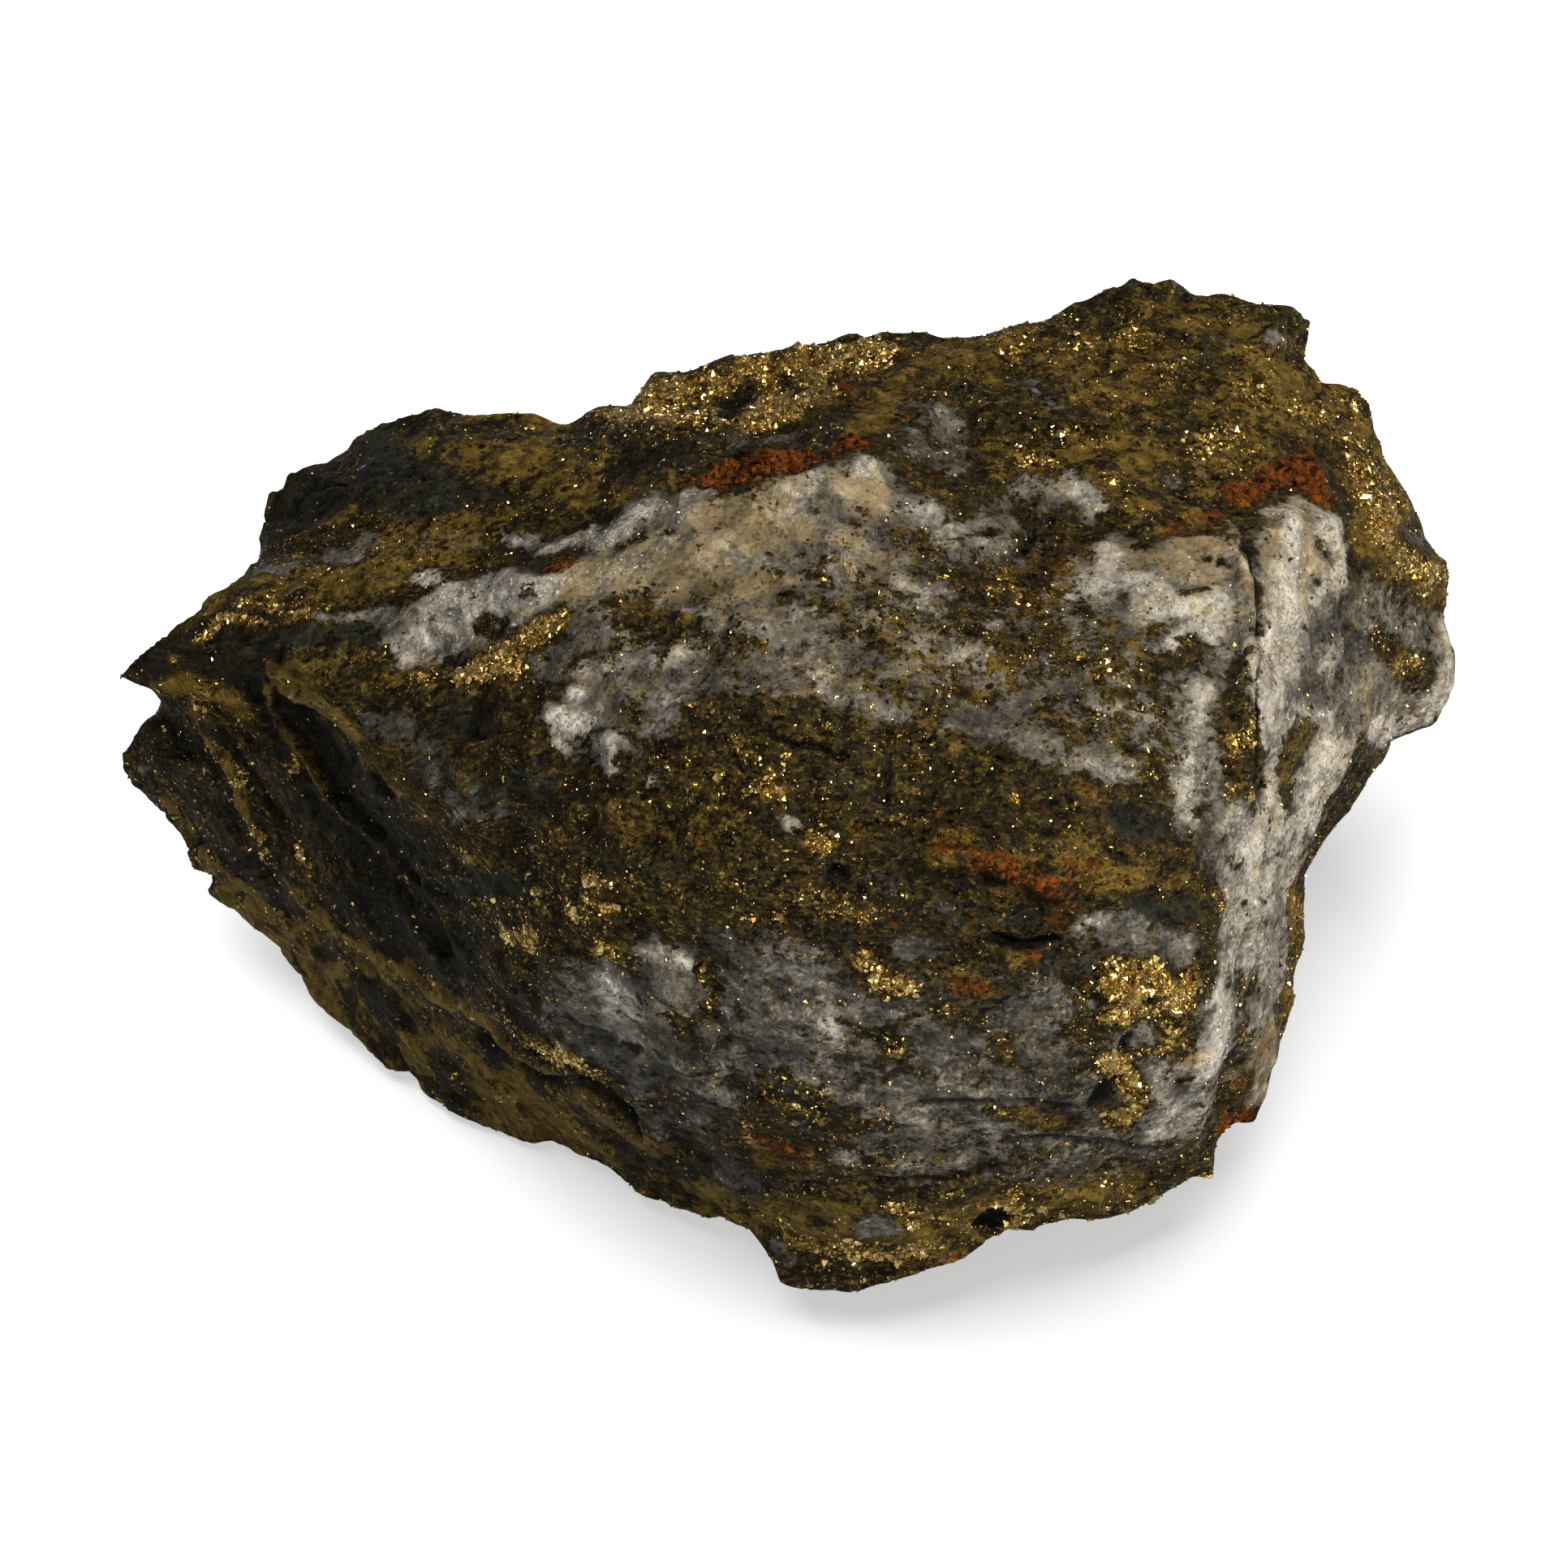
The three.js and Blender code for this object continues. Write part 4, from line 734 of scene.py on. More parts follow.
CUTS = {
    "seam of the right edge": cut(
        0.5, (1536, 668, 7), (1546, 700, 5), (1550, 760, 4), (1552, 830, 4), (1553, 900, 5),
        (1555, 990, 4)),
    "left crack": cut(
        1.3, (640, 1318, 8), (672, 1334, 9), (705, 1340, 12), (745, 1353, 13), (770, 1376, 11),
        (785, 1400, 8)),
    "left crack, upper end": cut(0.6, (595, 1282, 8), (622, 1297, 9), (645, 1312, 8)),
    "notch by the cloud": cut(0.4, (1236, 687, 7), (1258, 682, 8), (1270, 662, 7), (1274, 650, 5)),
    "groove in the gold": cut(0.35, (1042, 866, 8), (1040, 900, 9), (1038, 928, 8)),
    "fine crack": cut(0.5, (948, 903, 6), (980, 914, 6), (1010, 918, 6), (1034, 929, 6)),
    "short groove": cut(0.3, (1096, 930, 8), (1092, 955, 9), (1090, 985, 7)),
    "arches": cuts(
        0.3, ((950, 1095, 7), (965, 1080, 7), (980, 1076, 6)),
        ((988, 1076, 6), (1002, 1078, 7), (1012, 1092, 6))),
    "arch three": cut(0.5, (1020, 1085, 6), (1032, 1076, 8), (1045, 1085, 7)),
    "lens shade": cut(0.8, (1228, 1158, 8), (1262, 1166, 9), (1300, 1160, 6)),
    "hole by the gold": cut(0.7, (1384, 1296, 7), (1387, 1284, 9), (1394, 1276, 6)),
    "brown hollow in the gold": cut(0.6, (1345, 1362, 9), (1360, 1345, 12), (1385, 1332, 9)),
    "dark pit in the gold": cut(0.7, (1416, 1232, 8)),
    "rim pit": cut(1.1, (1206, 1514, 9), (1222, 1506, 13), (1240, 1500, 9)),
    "ring": cut(
        0.2, (590, 757, 6), (580, 768, 6), (588, 782, 6), (608, 784, 6), (620, 770, 6), (610, 757, 5)),
    "under the nose": cut(0.4, (342, 850, 8), (368, 872, 9), (400, 888, 10), (440, 920, 10), (480, 955, 9)),
    "nose crack": cut(0.3, (345, 795, 6), (338, 815, 6), (346, 840, 6)),
    "blotch hollow": cut(0.3, (893, 505, 16), (912, 488, 14)),
    "slot in the edge": cut(0.2, (1488, 992, 8), (1484, 1030, 8), (1482, 1062, 7)),
    "laminae": cuts(
        0.35, ((1240, 1408, 5), (1300, 1404, 5), (1380, 1412, 5), (1430, 1420, 5)),
        ((1130, 1362, 5), (1200, 1360, 5), (1270, 1358, 5), (1330, 1366, 5)),
        ((1060, 1462, 5), (1120, 1458, 5), (1180, 1450, 5), (1230, 1436, 5))),
    "ridge one rise": cut(
        -0.7, (334, 818, 7), (350, 848, 8), (395, 868, 9), (440, 908, 9), (466, 940, 9), (495, 978, 9)),
    "olive band rise": cut(-0.5, (200, 842, 10), (240, 850, 12), (285, 862, 12)),
    "trail rise": cut(-0.5, (249, 903, 8), (285, 955, 8), (300, 1000, 8), (330, 1060, 8)),
    "inner ridge rise": cut(
        -0.6, (330, 848, 6), (349, 898, 7), (372, 929, 7), (391, 963, 7), (433, 1010, 6)),
    "hollow step": cut(-0.5, (440, 1015, 8), (470, 1050, 9), (520, 1090, 9), (570, 1130, 8)),
    "hollow groove": cut(0.3, (345, 880, 7), (380, 930, 9), (410, 968, 9), (450, 1010, 9), (500, 1060, 8)),
    "outer groove": cut(0.4, (270, 900, 8), (300, 940, 8), (325, 990, 8), (350, 1020, 8)),
    "ridge two rise": cut(
        -0.45, (340, 1080, 6), (370, 1110, 7), (430, 1155, 7), (500, 1205, 7), (600, 1265, 7),
        (700, 1340, 6)),
    "knob": cut(-0.8, (868, 1265, 14), (872, 1285, 12)),
    "crumbly rises": cuts(-0.35, ((700, 892, 14),), ((748, 910, 12),)),
    "crumbly rises, lower": cuts(-0.3, ((690, 918, 9),), ((745, 855, 16), (815, 855, 14))),
    "ledge lip": cut(-0.6, (1150, 1060, 12), (1210, 1062, 14), (1260, 1082, 16), (1310, 1100, 14)),
    "gold rise": cut(-0.6, (1370, 1220, 18), (1410, 1215, 22), (1460, 1225, 14)),
    "white lip rise": cut(-0.8, (1530, 690, 10), (1537, 760, 10), (1538, 830, 10), (1534, 880, 9)),
    "white column rise": cut(-0.7, (1590, 640, 16), (1580, 700, 18), (1585, 760, 18)),
}


@dataclass(frozen=True)
class Eye:
    """The place that the stone is looked at from, and the picture frame seen from there."""

    heart_mm: Point = (-0.41, -3.19, 25.2)
    look_down_degrees: float = 50.0
    distance_mm: float = 483.0
    pixel_mm: float = 0.06
    width_pixels: int = 1931
    height_pixels: int = 1932
    sensor_mm: float = 36.0

    def across(self) -> Vector:
        """Returns the direction that runs to the right in the picture."""
        return Vector((1.0, 0.0, 0.0))

    def up(self) -> Vector:
        """Returns the direction that runs up in the picture."""
        lean = math.radians(self.look_down_degrees)
        return Vector((0.0, math.sin(lean), math.cos(lean)))

    def out(self) -> Vector:
        """Returns the direction from the stone to the eye."""
        lean = math.radians(self.look_down_degrees)
        return Vector((0.0, -math.cos(lean), math.sin(lean)))

    def place(self) -> Vector:
        """Returns where the eye is, in metres."""
        return (Vector(self.heart_mm) + self.out() * self.distance_mm) * METRES_PER_MM

    def ray(self, across_pixels: float, down_pixels: float) -> Vector:
        """Gives the way that the eye looks through a pixel of the picture frame.

        Args:
            across_pixels: The pixel's place from the left.
            down_pixels: The pixel's place from the top.

        Returns:
            A direction of length one.
        """
        right = (across_pixels - self.width_pixels / 2) * self.pixel_mm
        rise = (self.height_pixels / 2 - down_pixels) * self.pixel_mm
        way = self.across() * right + self.up() * rise - self.out() * self.distance_mm
        return way.normalized()

    def project(self, places_mm: np.ndarray) -> np.ndarray:
        """Gives where places are seen in the picture frame.

        Args:
            places_mm: The places, one row each.

        Returns:
            How far across and down each one is, in pixels.
        """
        from_heart = places_mm - np.array(self.heart_mm)
        depth = self.distance_mm - from_heart @ np.array(self.out())
        spread = self.distance_mm / depth / self.pixel_mm
        right = self.width_pixels / 2 + (from_heart @ np.array(self.across())) * spread
        down = self.height_pixels / 2 - (from_heart @ np.array(self.up())) * spread
        return np.stack([right, down], axis=1)

    def make_camera(self) -> None:
        """Adds the camera and makes it the scene's own."""
        bpy.ops.object.camera_add(location=self.place())
        camera = bpy.context.object
        camera.name = "eye"
        turn = Matrix((self.across(), self.up(), self.out())).transposed()
        camera.rotation_euler = turn.to_euler()
        camera.data.sensor_width = self.sensor_mm
        camera.data.lens = self.sensor_mm * self.distance_mm / (self.height_pixels * self.pixel_mm)
        camera.data.clip_start = 0.01
        camera.data.clip_end = 20.0
        bpy.context.scene.camera = camera
        log.info("camera: %.0f mm from the heart, lens %.0f mm", self.distance_mm, camera.data.lens)


EYE = Eye()


def pick_only(piece: Thing) -> None:
    """Deselects everything and makes one object the active one."""
    bpy.ops.object.select_all(action="DESELECT")
    piece.select_set(True)
    bpy.context.view_layer.objects.active = piece


def points_of(mesh: Mesh) -> np.ndarray:
    """Returns the mesh's points in metres, one row each."""
    places = np.empty(len(mesh.vertices) * 3)
    mesh.vertices.foreach_get("co", places)
    return places.reshape(-1, 3)


def normals_of(mesh: Mesh) -> np.ndarray:
    """Returns the outward direction at each of the mesh's points."""
    ways = np.empty(len(mesh.vertices) * 3, np.float32)
    mesh.vertex_normals.foreach_get("vector", ways)
    return ways.reshape(-1, 3).astype(float)


def set_points(mesh: Mesh, places: np.ndarray) -> None:
    """Moves the mesh's points to the places given."""
    mesh.vertices.foreach_set("co", places.ravel())
    mesh.update()


def store(mesh: Mesh, name: str, values: np.ndarray) -> None:
    """Keeps one number for each point of the mesh under a name that a material can read."""
    layer = mesh.attributes.new(name, "FLOAT", "POINT")
    layer.data.foreach_set("value", values.astype(np.float32))


def smooth_step(values: np.ndarray, low: float, high: float) -> np.ndarray:
    """Returns 0 below low, 1 above high and a soft ramp between."""
    share = np.clip((values - low) / (high - low), 0.0, 1.0)
    return share * share * (3.0 - 2.0 * share)


def bedded_places(places_mm: np.ndarray, layer_mm: np.ndarray, along: float) -> np.ndarray:
    """Returns the places squeezed along the layers, with the height across the layers as the third."""
    return np.stack([places_mm[:, 0] * along, places_mm[:, 1] * along, layer_mm], axis=1)


def rough_noise(places_mm: np.ndarray, width_mm: float, octaves: int, seed: float) -> np.ndarray:
    """Gives fractal noise at each place, from about -1 to 1.

    Args:
        places_mm: The places, one row each.
        width_mm: How wide the largest lumps are.
        octaves: How many times finer lumps are added.
        seed: Moves the noise, so that each use has lumps of its own.

    Returns:
        One value for each place.
    """
    shift = Vector((seed * 13.1, seed * 7.7, seed * 3.3))
    near = places_mm / width_mm
    return np.array([noise.fractal(Vector(place) + shift, 0.9, 2.1, octaves) for place in near])


@dataclass(frozen=True)
class Clouds:
    """Fractal noise over the stone, and the two levels between which its share rises from 0 to 1."""

    width_mm: float
    octaves: int
    seed: float
    low: float = 0.0
    high: float = 1.0

    def values(self, places_mm: np.ndarray) -> np.ndarray:
        """Returns the noise at each place, from about -1 to 1."""
        return rough_noise(places_mm, self.width_mm, self.octaves, self.seed)

    def shares(self, places_mm: np.ndarray) -> np.ndarray:
        """Returns 0 where the noise is below low, 1 above high and a soft ramp between."""
        return smooth_step(self.values(places_mm), self.low, self.high)


LAYER_WANDER = Clouds(width_mm=11.0, octaves=3, seed=1.0)
HIDDEN_BEDS = Clouds(width_mm=15.0, octaves=3, seed=2.0)
HIDDEN_EDGES = Clouds(width_mm=6.0, octaves=3, seed=3.0)
HIDDEN_RICHES = Clouds(width_mm=9.0, octaves=3, seed=4.0, low=-0.25, high=0.5)
HIDDEN_STAINS = Clouds(width_mm=12.0, octaves=3, seed=5.0, low=0.0, high=0.5)
HIDDEN_RUST = Clouds(width_mm=7.0, octaves=3, seed=6.0, low=0.35, high=0.6)
HIDDEN_DARK = Clouds(width_mm=10.0, octaves=3, seed=7.0, low=0.1, high=0.5)
LUMPS = Clouds(width_mm=3.2, octaves=3, seed=8.0)
LAMINAE = Clouds(width_mm=1.2, octaves=3, seed=9.0)
GRIT = Clouds(width_mm=1.0, octaves=2, seed=10.0)
BROAD_WANDER = tuple(Clouds(width_mm=2.8, octaves=2, seed=20.0 + axis) for axis in range(3))
FINE_WANDER = tuple(Clouds(width_mm=0.9, octaves=2, seed=30.0 + axis) for axis in range(3))
THINNED = Clouds(width_mm=1.3, octaves=4, seed=40.0, low=-0.2, high=0.7)
STREWN = Clouds(width_mm=1.0, octaves=4, seed=41.0, low=0.0, high=0.9)
CLUSTERS = Clouds(width_mm=1.6, octaves=4, seed=42.0, low=-0.5, high=0.7)
MILK_CLOUDS = Clouds(width_mm=2.6, octaves=3, seed=43.0)
SHADES = Clouds(width_mm=3.4, octaves=4, seed=44.0)
TINTS = Clouds(width_mm=5.0, octaves=3, seed=45.0)


@dataclass(frozen=True)
class Breakage:
    """Flat broken facets, each with a tilt and a step of its own, longer along the layers than across."""

    cell_mm: float
    slope: float
    step_mm: float
    along: float
    seed: float
    step_shift: Point = (57.0, 0.0, 0.0)

    def rise_mm(self, places_mm: np.ndarray, layer_mm: np.ndarray) -> np.ndarray:
        """Gives how far each place stands out of the smooth surface.

        Args:
            places_mm: The places, one row each.
            layer_mm: How high each lies across the layers.

        Returns:
            The rise at each place.
        """
        places = bedded_places(places_mm, layer_mm, self.along) / self.cell_mm + self.seed
        rises = np.empty(len(places))
        for number, place in enumerate(places):
            here = Vector(place)
            heart = noise.voronoi(here)[1][0]
            tilt = noise.cell_vector(heart).dot(here - heart)
            step = noise.cell(heart + Vector(self.step_shift)) - 0.5
            rises[number] = self.slope * self.cell_mm * tilt + self.step_mm * step
        return rises


WIDE_FACETS = Breakage(cell_mm=3.6, slope=0.10, step_mm=0.10, along=0.7, seed=3.0)
NARROW_FACETS = Breakage(cell_mm=1.5, slope=0.13, step_mm=0.07, along=0.8, seed=8.0)


@dataclass
class Bedding:
    """The stone's layering: level on the front, dipping right on the left flank and left on top of it."""

    normal: Point = (0.12, 0.33, 0.937)
    bend_start_mm: float = -16.0
    bend_width_mm: float = 3.5
    flank_slope: float = 0.75
    top_slope: float = -0.6
    fan: float = 0.009
    fan_from_mm: float = 24.0
    top_from: float = 0.4
    top_full: float = 0.8
    wander_mm: float = 0.5

    def height_mm(self, places_mm: np.ndarray, ways: np.ndarray) -> np.ndarray:
        """Gives how high places lie across the layers.

        Args:
            places_mm: The places, one row each.
            ways: The outward direction at each.

        Returns:
            The height at each place.
        """
        height = places_mm @ np.array(self.normal)
        height -= self.fan * places_mm[:, 0] * np.maximum(self.fan_from_mm - places_mm[:, 2], 0)
        past = (self.bend_start_mm - places_mm[:, 0]) / self.bend_width_mm
        bend = self.bend_width_mm * np.log1p(np.exp(np.clip(past, -20, 20)))
        top = smooth_step(ways[:, 2], self.top_from, self.top_full)
        height -= bend * (self.flank_slope * (1 - top) + self.top_slope * top)
        return height + self.wander_mm * LAYER_WANDER.values(places_mm)


@dataclass
class Skin:
    """The stone's broken surface: a fine copy of the solid, with its grounds, relief and cracks.

    Its marks and cuts are measured in their own radii; rounds are how many times a blur is repeated.
    """

    name: str = "stone_skin"
    merge_within: float = 1e-6
    first_cuts: int = 2
    front_cuts: int = 1
    turned_limit: float = 0.3
    relax_share: float = 0.5
    swell_share: float = -0.52
    relax_rounds: int = 6
    broad_rounds: int = 60
    facet_blur_rounds: int = 2
    hollow_rounds: int = 8
    hollow_depth_mm: float = 0.22
    crease_degrees: float = 26.0
    seen_limit: float = -0.05
    front_from: float = -0.1
    front_full: float = 0.15
    cast_every: float = 12.0
    depth_reach_mm: float = 3.0
    mark_reach: float = 1.4
    mark_full: float = 0.5
    mark_end: float = 1.35
    cut_reach: float = 1.3
    # The crack depth from which its painted shade is full.
    full_crack_mm: float = 0.8
    wander_mm: float = 0.6
    fine_wander_mm: float = 0.3
    broad_blur_rounds: int = 12
    fine_blur_rounds: int = 3
    last_blur_rounds: int = 1
    mottle_along: float = 0.45
    thinning: float = 0.34
    strewing: float = 0.16
    sparsest: float = 0.4
    densest: float = 1.5
    warmth_tint: float = 0.25
    milk_clouds: float = 0.22
    ochre_tint: float = 0.9
    rust_stains: float = 0.35
    dark_stains: float = 0.5
    slate_stains: float = 0.3
    hidden_bed_mm: float = 13.0
    lamina_along: float = 0.35
    lump_mm: float = 0.16
    lamina_mm: float = 0.09
    grit_mm: float = 0.05
    milk_grit_mm: float = 0.22
    rust_grit_mm: float = 0.3
    floor_tolerance_mm: float = 0.02

    def build(self) -> Thing:
        """Makes the finished skin.

        Returns:
            The object, riding on the stone's body and standing for the solid.
        """
        piece = self.copy_solid()
        self.refine(piece)
        mesh = piece.data
        self.tree = BVHTree.FromPolygons(
            [tuple(place) for place in points_of(mesh)], [tuple(face.vertices) for face in mesh.polygons]
        )
        places_mm = points_of(mesh) / METRES_PER_MM
        ways = normals_of(mesh)
        to_eye = np.array(EYE.place()) / METRES_PER_MM - places_mm
        facing = np.sum(ways * to_eye, axis=1) / np.linalg.norm(to_eye, axis=1)
        self.seen = facing > self.seen_limit
        self.find_edges(mesh)
        broad_ways = self.blur(ways, self.broad_rounds)
        self.layer = Bedding().height_mm(places_mm, broad_ways)
        self.fields = self.paint(places_mm, facing)
        self.crack_shade = np.zeros(len(places_mm))
        moved = self.roughen(places_mm, ways)
        moved = self.carve(moved, places_mm, ways)
        moved[self.resting] = places_mm[self.resting]
        moved[:, 2] = np.maximum(moved[:, 2], 0.0)
        set_points(mesh, moved * METRES_PER_MM)
        for field in Field:
            store(mesh, field.name.lower(), self.fields[:, field.value])
        store(mesh, "layer", self.layer)
        # The painted shade of the cracks, by which the finish darkens the colour.
        store(mesh, "crack_shade", self.crack_shade)
        # The hollow depth, by which the finish paints shade into hollows and a highlight onto edges.
        store(mesh, "hollow", self.hollows(mesh))
        pick_only(piece)
        bpy.ops.object.shade_smooth_by_angle(angle=math.radians(self.crease_degrees))
        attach(piece, BODY)
        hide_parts(STONE_NODE)
        log.info("%s: %d faces", self.name, len(mesh.polygons))
        return piece

    def copy_solid(self) -> Thing:
        """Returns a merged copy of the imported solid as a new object."""
        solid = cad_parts[STONE_NODE]
        piece = bpy.data.objects.new(self.name, solid.data.copy())
        bpy.context.scene.collection.objects.link(piece)
        piece.data.materials.clear()
        pick_only(piece)
        bpy.ops.object.mode_set(mode="EDIT")
        bpy.ops.mesh.select_mode(type="VERT")
        bpy.ops.mesh.select_all(action="SELECT")
        bpy.ops.mesh.remove_doubles(threshold=self.merge_within)
        bpy.ops.object.mode_set(mode="OBJECT")
        for layer in list(piece.data.uv_layers):
            piece.data.uv_layers.remove(layer)
        return piece

    def refine(self, piece: Thing) -> None:
        """Splits the faces, the ones turned to the eye once more, and rounds the creases in place."""
        mesh = piece.data
        bpy.ops.object.mode_set(mode="EDIT")
        bpy.ops.mesh.select_mode(type="FACE")
        bpy.ops.mesh.select_all(action="SELECT")
        bpy.ops.mesh.subdivide(number_cuts=self.first_cuts)
        bpy.ops.mesh.select_all(action="DESELECT")
        bpy.ops.object.mode_set(mode="OBJECT")
        eye = EYE.place()
        facing = [face.normal.dot((eye - face.center).normalized()) for face in mesh.polygons]
        mesh.polygons.foreach_set("select", [value > self.turned_limit for value in facing])
        bpy.ops.object.mode_set(mode="EDIT")
        bpy.ops.mesh.subdivide(number_cuts=self.front_cuts)
        bpy.ops.mesh.select_all(action="SELECT")
        bpy.ops.mesh.quads_convert_to_tris()
        bpy.ops.object.mode_set(mode="OBJECT")
        before = points_of(mesh)
        self.resting = before[:, 2] < self.floor_tolerance_mm * METRES_PER_MM
        bpy.ops.object.mode_set(mode="EDIT")
        for _ in range(self.relax_rounds):
            bpy.ops.mesh.vertices_smooth(factor=self.relax_share)
            bpy.ops.mesh.vertices_smooth(factor=self.swell_share)
        bpy.ops.object.mode_set(mode="OBJECT")
        after = points_of(mesh)
        after[self.resting] = before[self.resting]
        set_points(mesh, after)

    def hits_mm(self, path: Path) -> np.ndarray:
        """Returns where the path's points, and places between them, fall on the stone."""
        eye = EYE.place()
        hits = []
        for start, end in zip(path, path[1:] + path[-1:]):
            steps = 1 + round(math.dist(start[:2], end[:2]) / self.cast_every)
            for step in range(steps):
                across, down = (a + (b - a) * step / steps for a, b in zip(start[:2], end[:2]))
                hit = self.tree.ray_cast(eye, EYE.ray(across, down))[0]
                if hit is not None:
                    hits.append(hit / METRES_PER_MM)
        return np.array(hits).reshape(-1, 3)

    def nearness(self, path: Path, places_mm: np.ndarray, reach: float) -> tuple[np.ndarray, np.ndarray]:
        """Finds the points that are seen near a path and lie on the same side of the stone.

        Args:
            path: The path's points and radii in pixels.
            places_mm: The mesh's points, as the paths should meet them.
            reach: How many radii away still counts.

        Returns:
            The numbers of the points that are near, and how many radii away each one is.
        """
        pixels = EYE.project(places_mm)
        corners = np.array(path, float)
        pad = corners[:, 2:].max() * reach
        low, high = corners[:, :2].min(0) - pad, corners[:, :2].max(0) + pad
        near = np.flatnonzero(np.all((pixels > low) & (pixels < high), axis=1) & self.seen)
        pixels = pixels[near]
        gaps = np.full(len(near), np.inf)
        for start, end in zip(corners, corners[1:] if len(corners) > 1 else corners):
            way = end[:2] - start[:2]
            along = np.clip(((pixels - start[:2]) @ way) / max(way @ way, 1e-9), 0, 1)
            foot = start[:2] + along[:, None] * way
            radius = start[2] + along * (end[2] - start[2])
            gaps = np.minimum(gaps, np.linalg.norm(pixels - foot, axis=1) / radius)
        hits = self.hits_mm(path)
        if len(hits) == 0:
            return near[:0], gaps[:0]
        limit = self.depth_reach_mm + 2 * pad * EYE.pixel_mm
        far = np.linalg.norm(places_mm[near, None, :] - hits[None, :, :], axis=2).min(axis=1)
        kept = (gaps < reach) & (far < limit)
        return near[kept], gaps[kept]

    def paint(self, places_mm: np.ndarray, facing: np.ndarray) -> np.ndarray:
        """Works out which ground each point shows.

        Args:
            places_mm: The mesh's points.
            facing: How straight each one faces the eye, from -1 to 1.

        Returns:
            One row for each point, with a column for each field.
        """
        fields = self.hidden_side(places_mm)
        share = smooth_step(facing, self.front_from, self.front_full)[:, None]
        fields = fields * (1 - share) + np.array(Paint.GROUND.value) * share
        wandered = places_mm + self.wander(places_mm)
        self.apply(BROAD_MARKS, wandered, fields)
        fields = self.blur(fields, self.broad_blur_rounds)
        for group in (VEIN_MARKS, TOP_MARKS, RIGHT_MARKS, MIDDLE_MARKS, LOWER_MARKS):
            self.apply(group, wandered, fields)
        fields = self.blur(fields, self.fine_blur_rounds)
        self.apply(LEFT_MARKS, wandered, fields)
        return self.mottle(self.blur(fields, self.last_blur_rounds), places_mm)

    def mottle(self, fields: np.ndarray, places_mm: np.ndarray) -> np.ndarray:
        """Returns the fields with the grounds thinned, strewn and clouded in patches of millimetres."""
        bedded = bedded_places(places_mm, self.layer, self.mottle_along)
        quartz, warmth, milk, pyrite, ochre, rust, dark, slate = fields.T
        ground = 1 - quartz
        shade = SHADES.values(bedded)
        tint = TINTS.values(places_mm)
        amount = self.sparsest + (self.densest - self.sparsest) * CLUSTERS.shares(bedded)
        full = smooth_step(pyrite, 0.7, 0.95)
        thinned = quartz * (1 - self.thinning * THINNED.shares(bedded))
        columns = (
            thinned + self.strewing * STREWN.shares(bedded) * ground,
            warmth + self.warmth_tint * tint,
            milk + self.milk_clouds * MILK_CLOUDS.values(bedded),
            pyrite * (full + (1 - full) * amount),
            ochre * (1 + self.ochre_tint * tint),
            rust + self.rust_stains * smooth_step(tint * 0.6 + shade * 0.6, 0.25, 0.7) * ground,
            dark + self.dark_stains * smooth_step(shade, 0.0, 0.7) * ground * (1 - full),
            slate + self.slate_stains * smooth_step(-tint, 0.2, 0.8) * ground * (1 - full),
        )
        return np.clip(np.stack(columns, axis=1), 0, 1)

    def wander(self, places_mm: np.ndarray) -> np.ndarray:
        """Returns the small shifts that make the edges of the marks wander."""
        broad = [clouds.values(places_mm) * self.wander_mm for clouds in BROAD_WANDER]
        fine = [clouds.values(places_mm) * self.fine_wander_mm for clouds in FINE_WANDER]
        return np.stack(broad, axis=1) + np.stack(fine, axis=1)

    def apply(self, group: dict[str, Mark], places_mm: np.ndarray, fields: np.ndarray) -> None:
        """Lays a set of marks over the fields, one path after the other."""
        for entry in group.values():
            for path in entry.paths:
                near, gaps = self.nearness(path, places_mm, self.mark_reach)
                cover = 1 - smooth_step(gaps, self.mark_full, self.mark_end)
                share = (entry.strength * cover)[:, None]
                fields[near] = fields[near] * (1 - share) + np.array(entry.paint.value) * share

    def find_edges(self, mesh: Mesh) -> None:
        """Keeps the ends of the mesh's edges and how many edges meet at each point."""
        ends = np.empty(len(mesh.edges) * 2, np.int32)
        mesh.edges.foreach_get("vertices", ends)
        self.first, self.second = ends.reshape(-1, 2).T
        self.count = len(mesh.vertices)
        self.degree = np.bincount(self.first, minlength=self.count)
        self.degree += np.bincount(self.second, minlength=self.count)

    def blur(self, values: np.ndarray, rounds: int) -> np.ndarray:
        """Returns the values after each point has taken half of its neighbours' mean, that many times."""
        for _ in range(rounds):
            total = np.empty_like(values)
            for column in range(values.shape[1]):
                total[:, column] = np.bincount(self.first, values[self.second, column], self.count)
                total[:, column] += np.bincount(self.second, values[self.first, column], self.count)
            values = 0.5 * values + 0.5 * total / self.degree[:, None]
        return values

    def hidden_side(self, places_mm: np.ndarray) -> np.ndarray:
        """Returns the fields of the sides that the picture doesn't show: beds of quartz in rich ground."""
        broad = HIDDEN_BEDS.values(places_mm)
        fine = HIDDEN_EDGES.values(places_mm)
        beds = np.sin(self.layer * 2 * math.pi / self.hidden_bed_mm + 2.2 * broad)
        quartz = smooth_step(beds + 0.7 * fine, 0.15, 0.9)
        rest = 1 - quartz
        dark = HIDDEN_DARK.shares(places_mm)
        columns = {
            Field.QUARTZ: quartz,
            Field.WARMTH: smooth_step(broad, -0.3, 0.5) * 0.7,
            Field.MILK: smooth_step(fine, -0.3, 0.5) * 0.8,
            Field.PYRITE: rest * (0.25 + 0.55 * HIDDEN_RICHES.shares(places_mm)),
            Field.OCHRE: rest * HIDDEN_STAINS.shares(places_mm) * 0.8,
            Field.RUST: rest * HIDDEN_RUST.shares(places_mm) * 0.8,
            Field.DARK: rest * dark * 0.8,
            Field.SLATE: rest * dark * 0.4,
        }
        return np.stack([columns[field] for field in Field], axis=1)

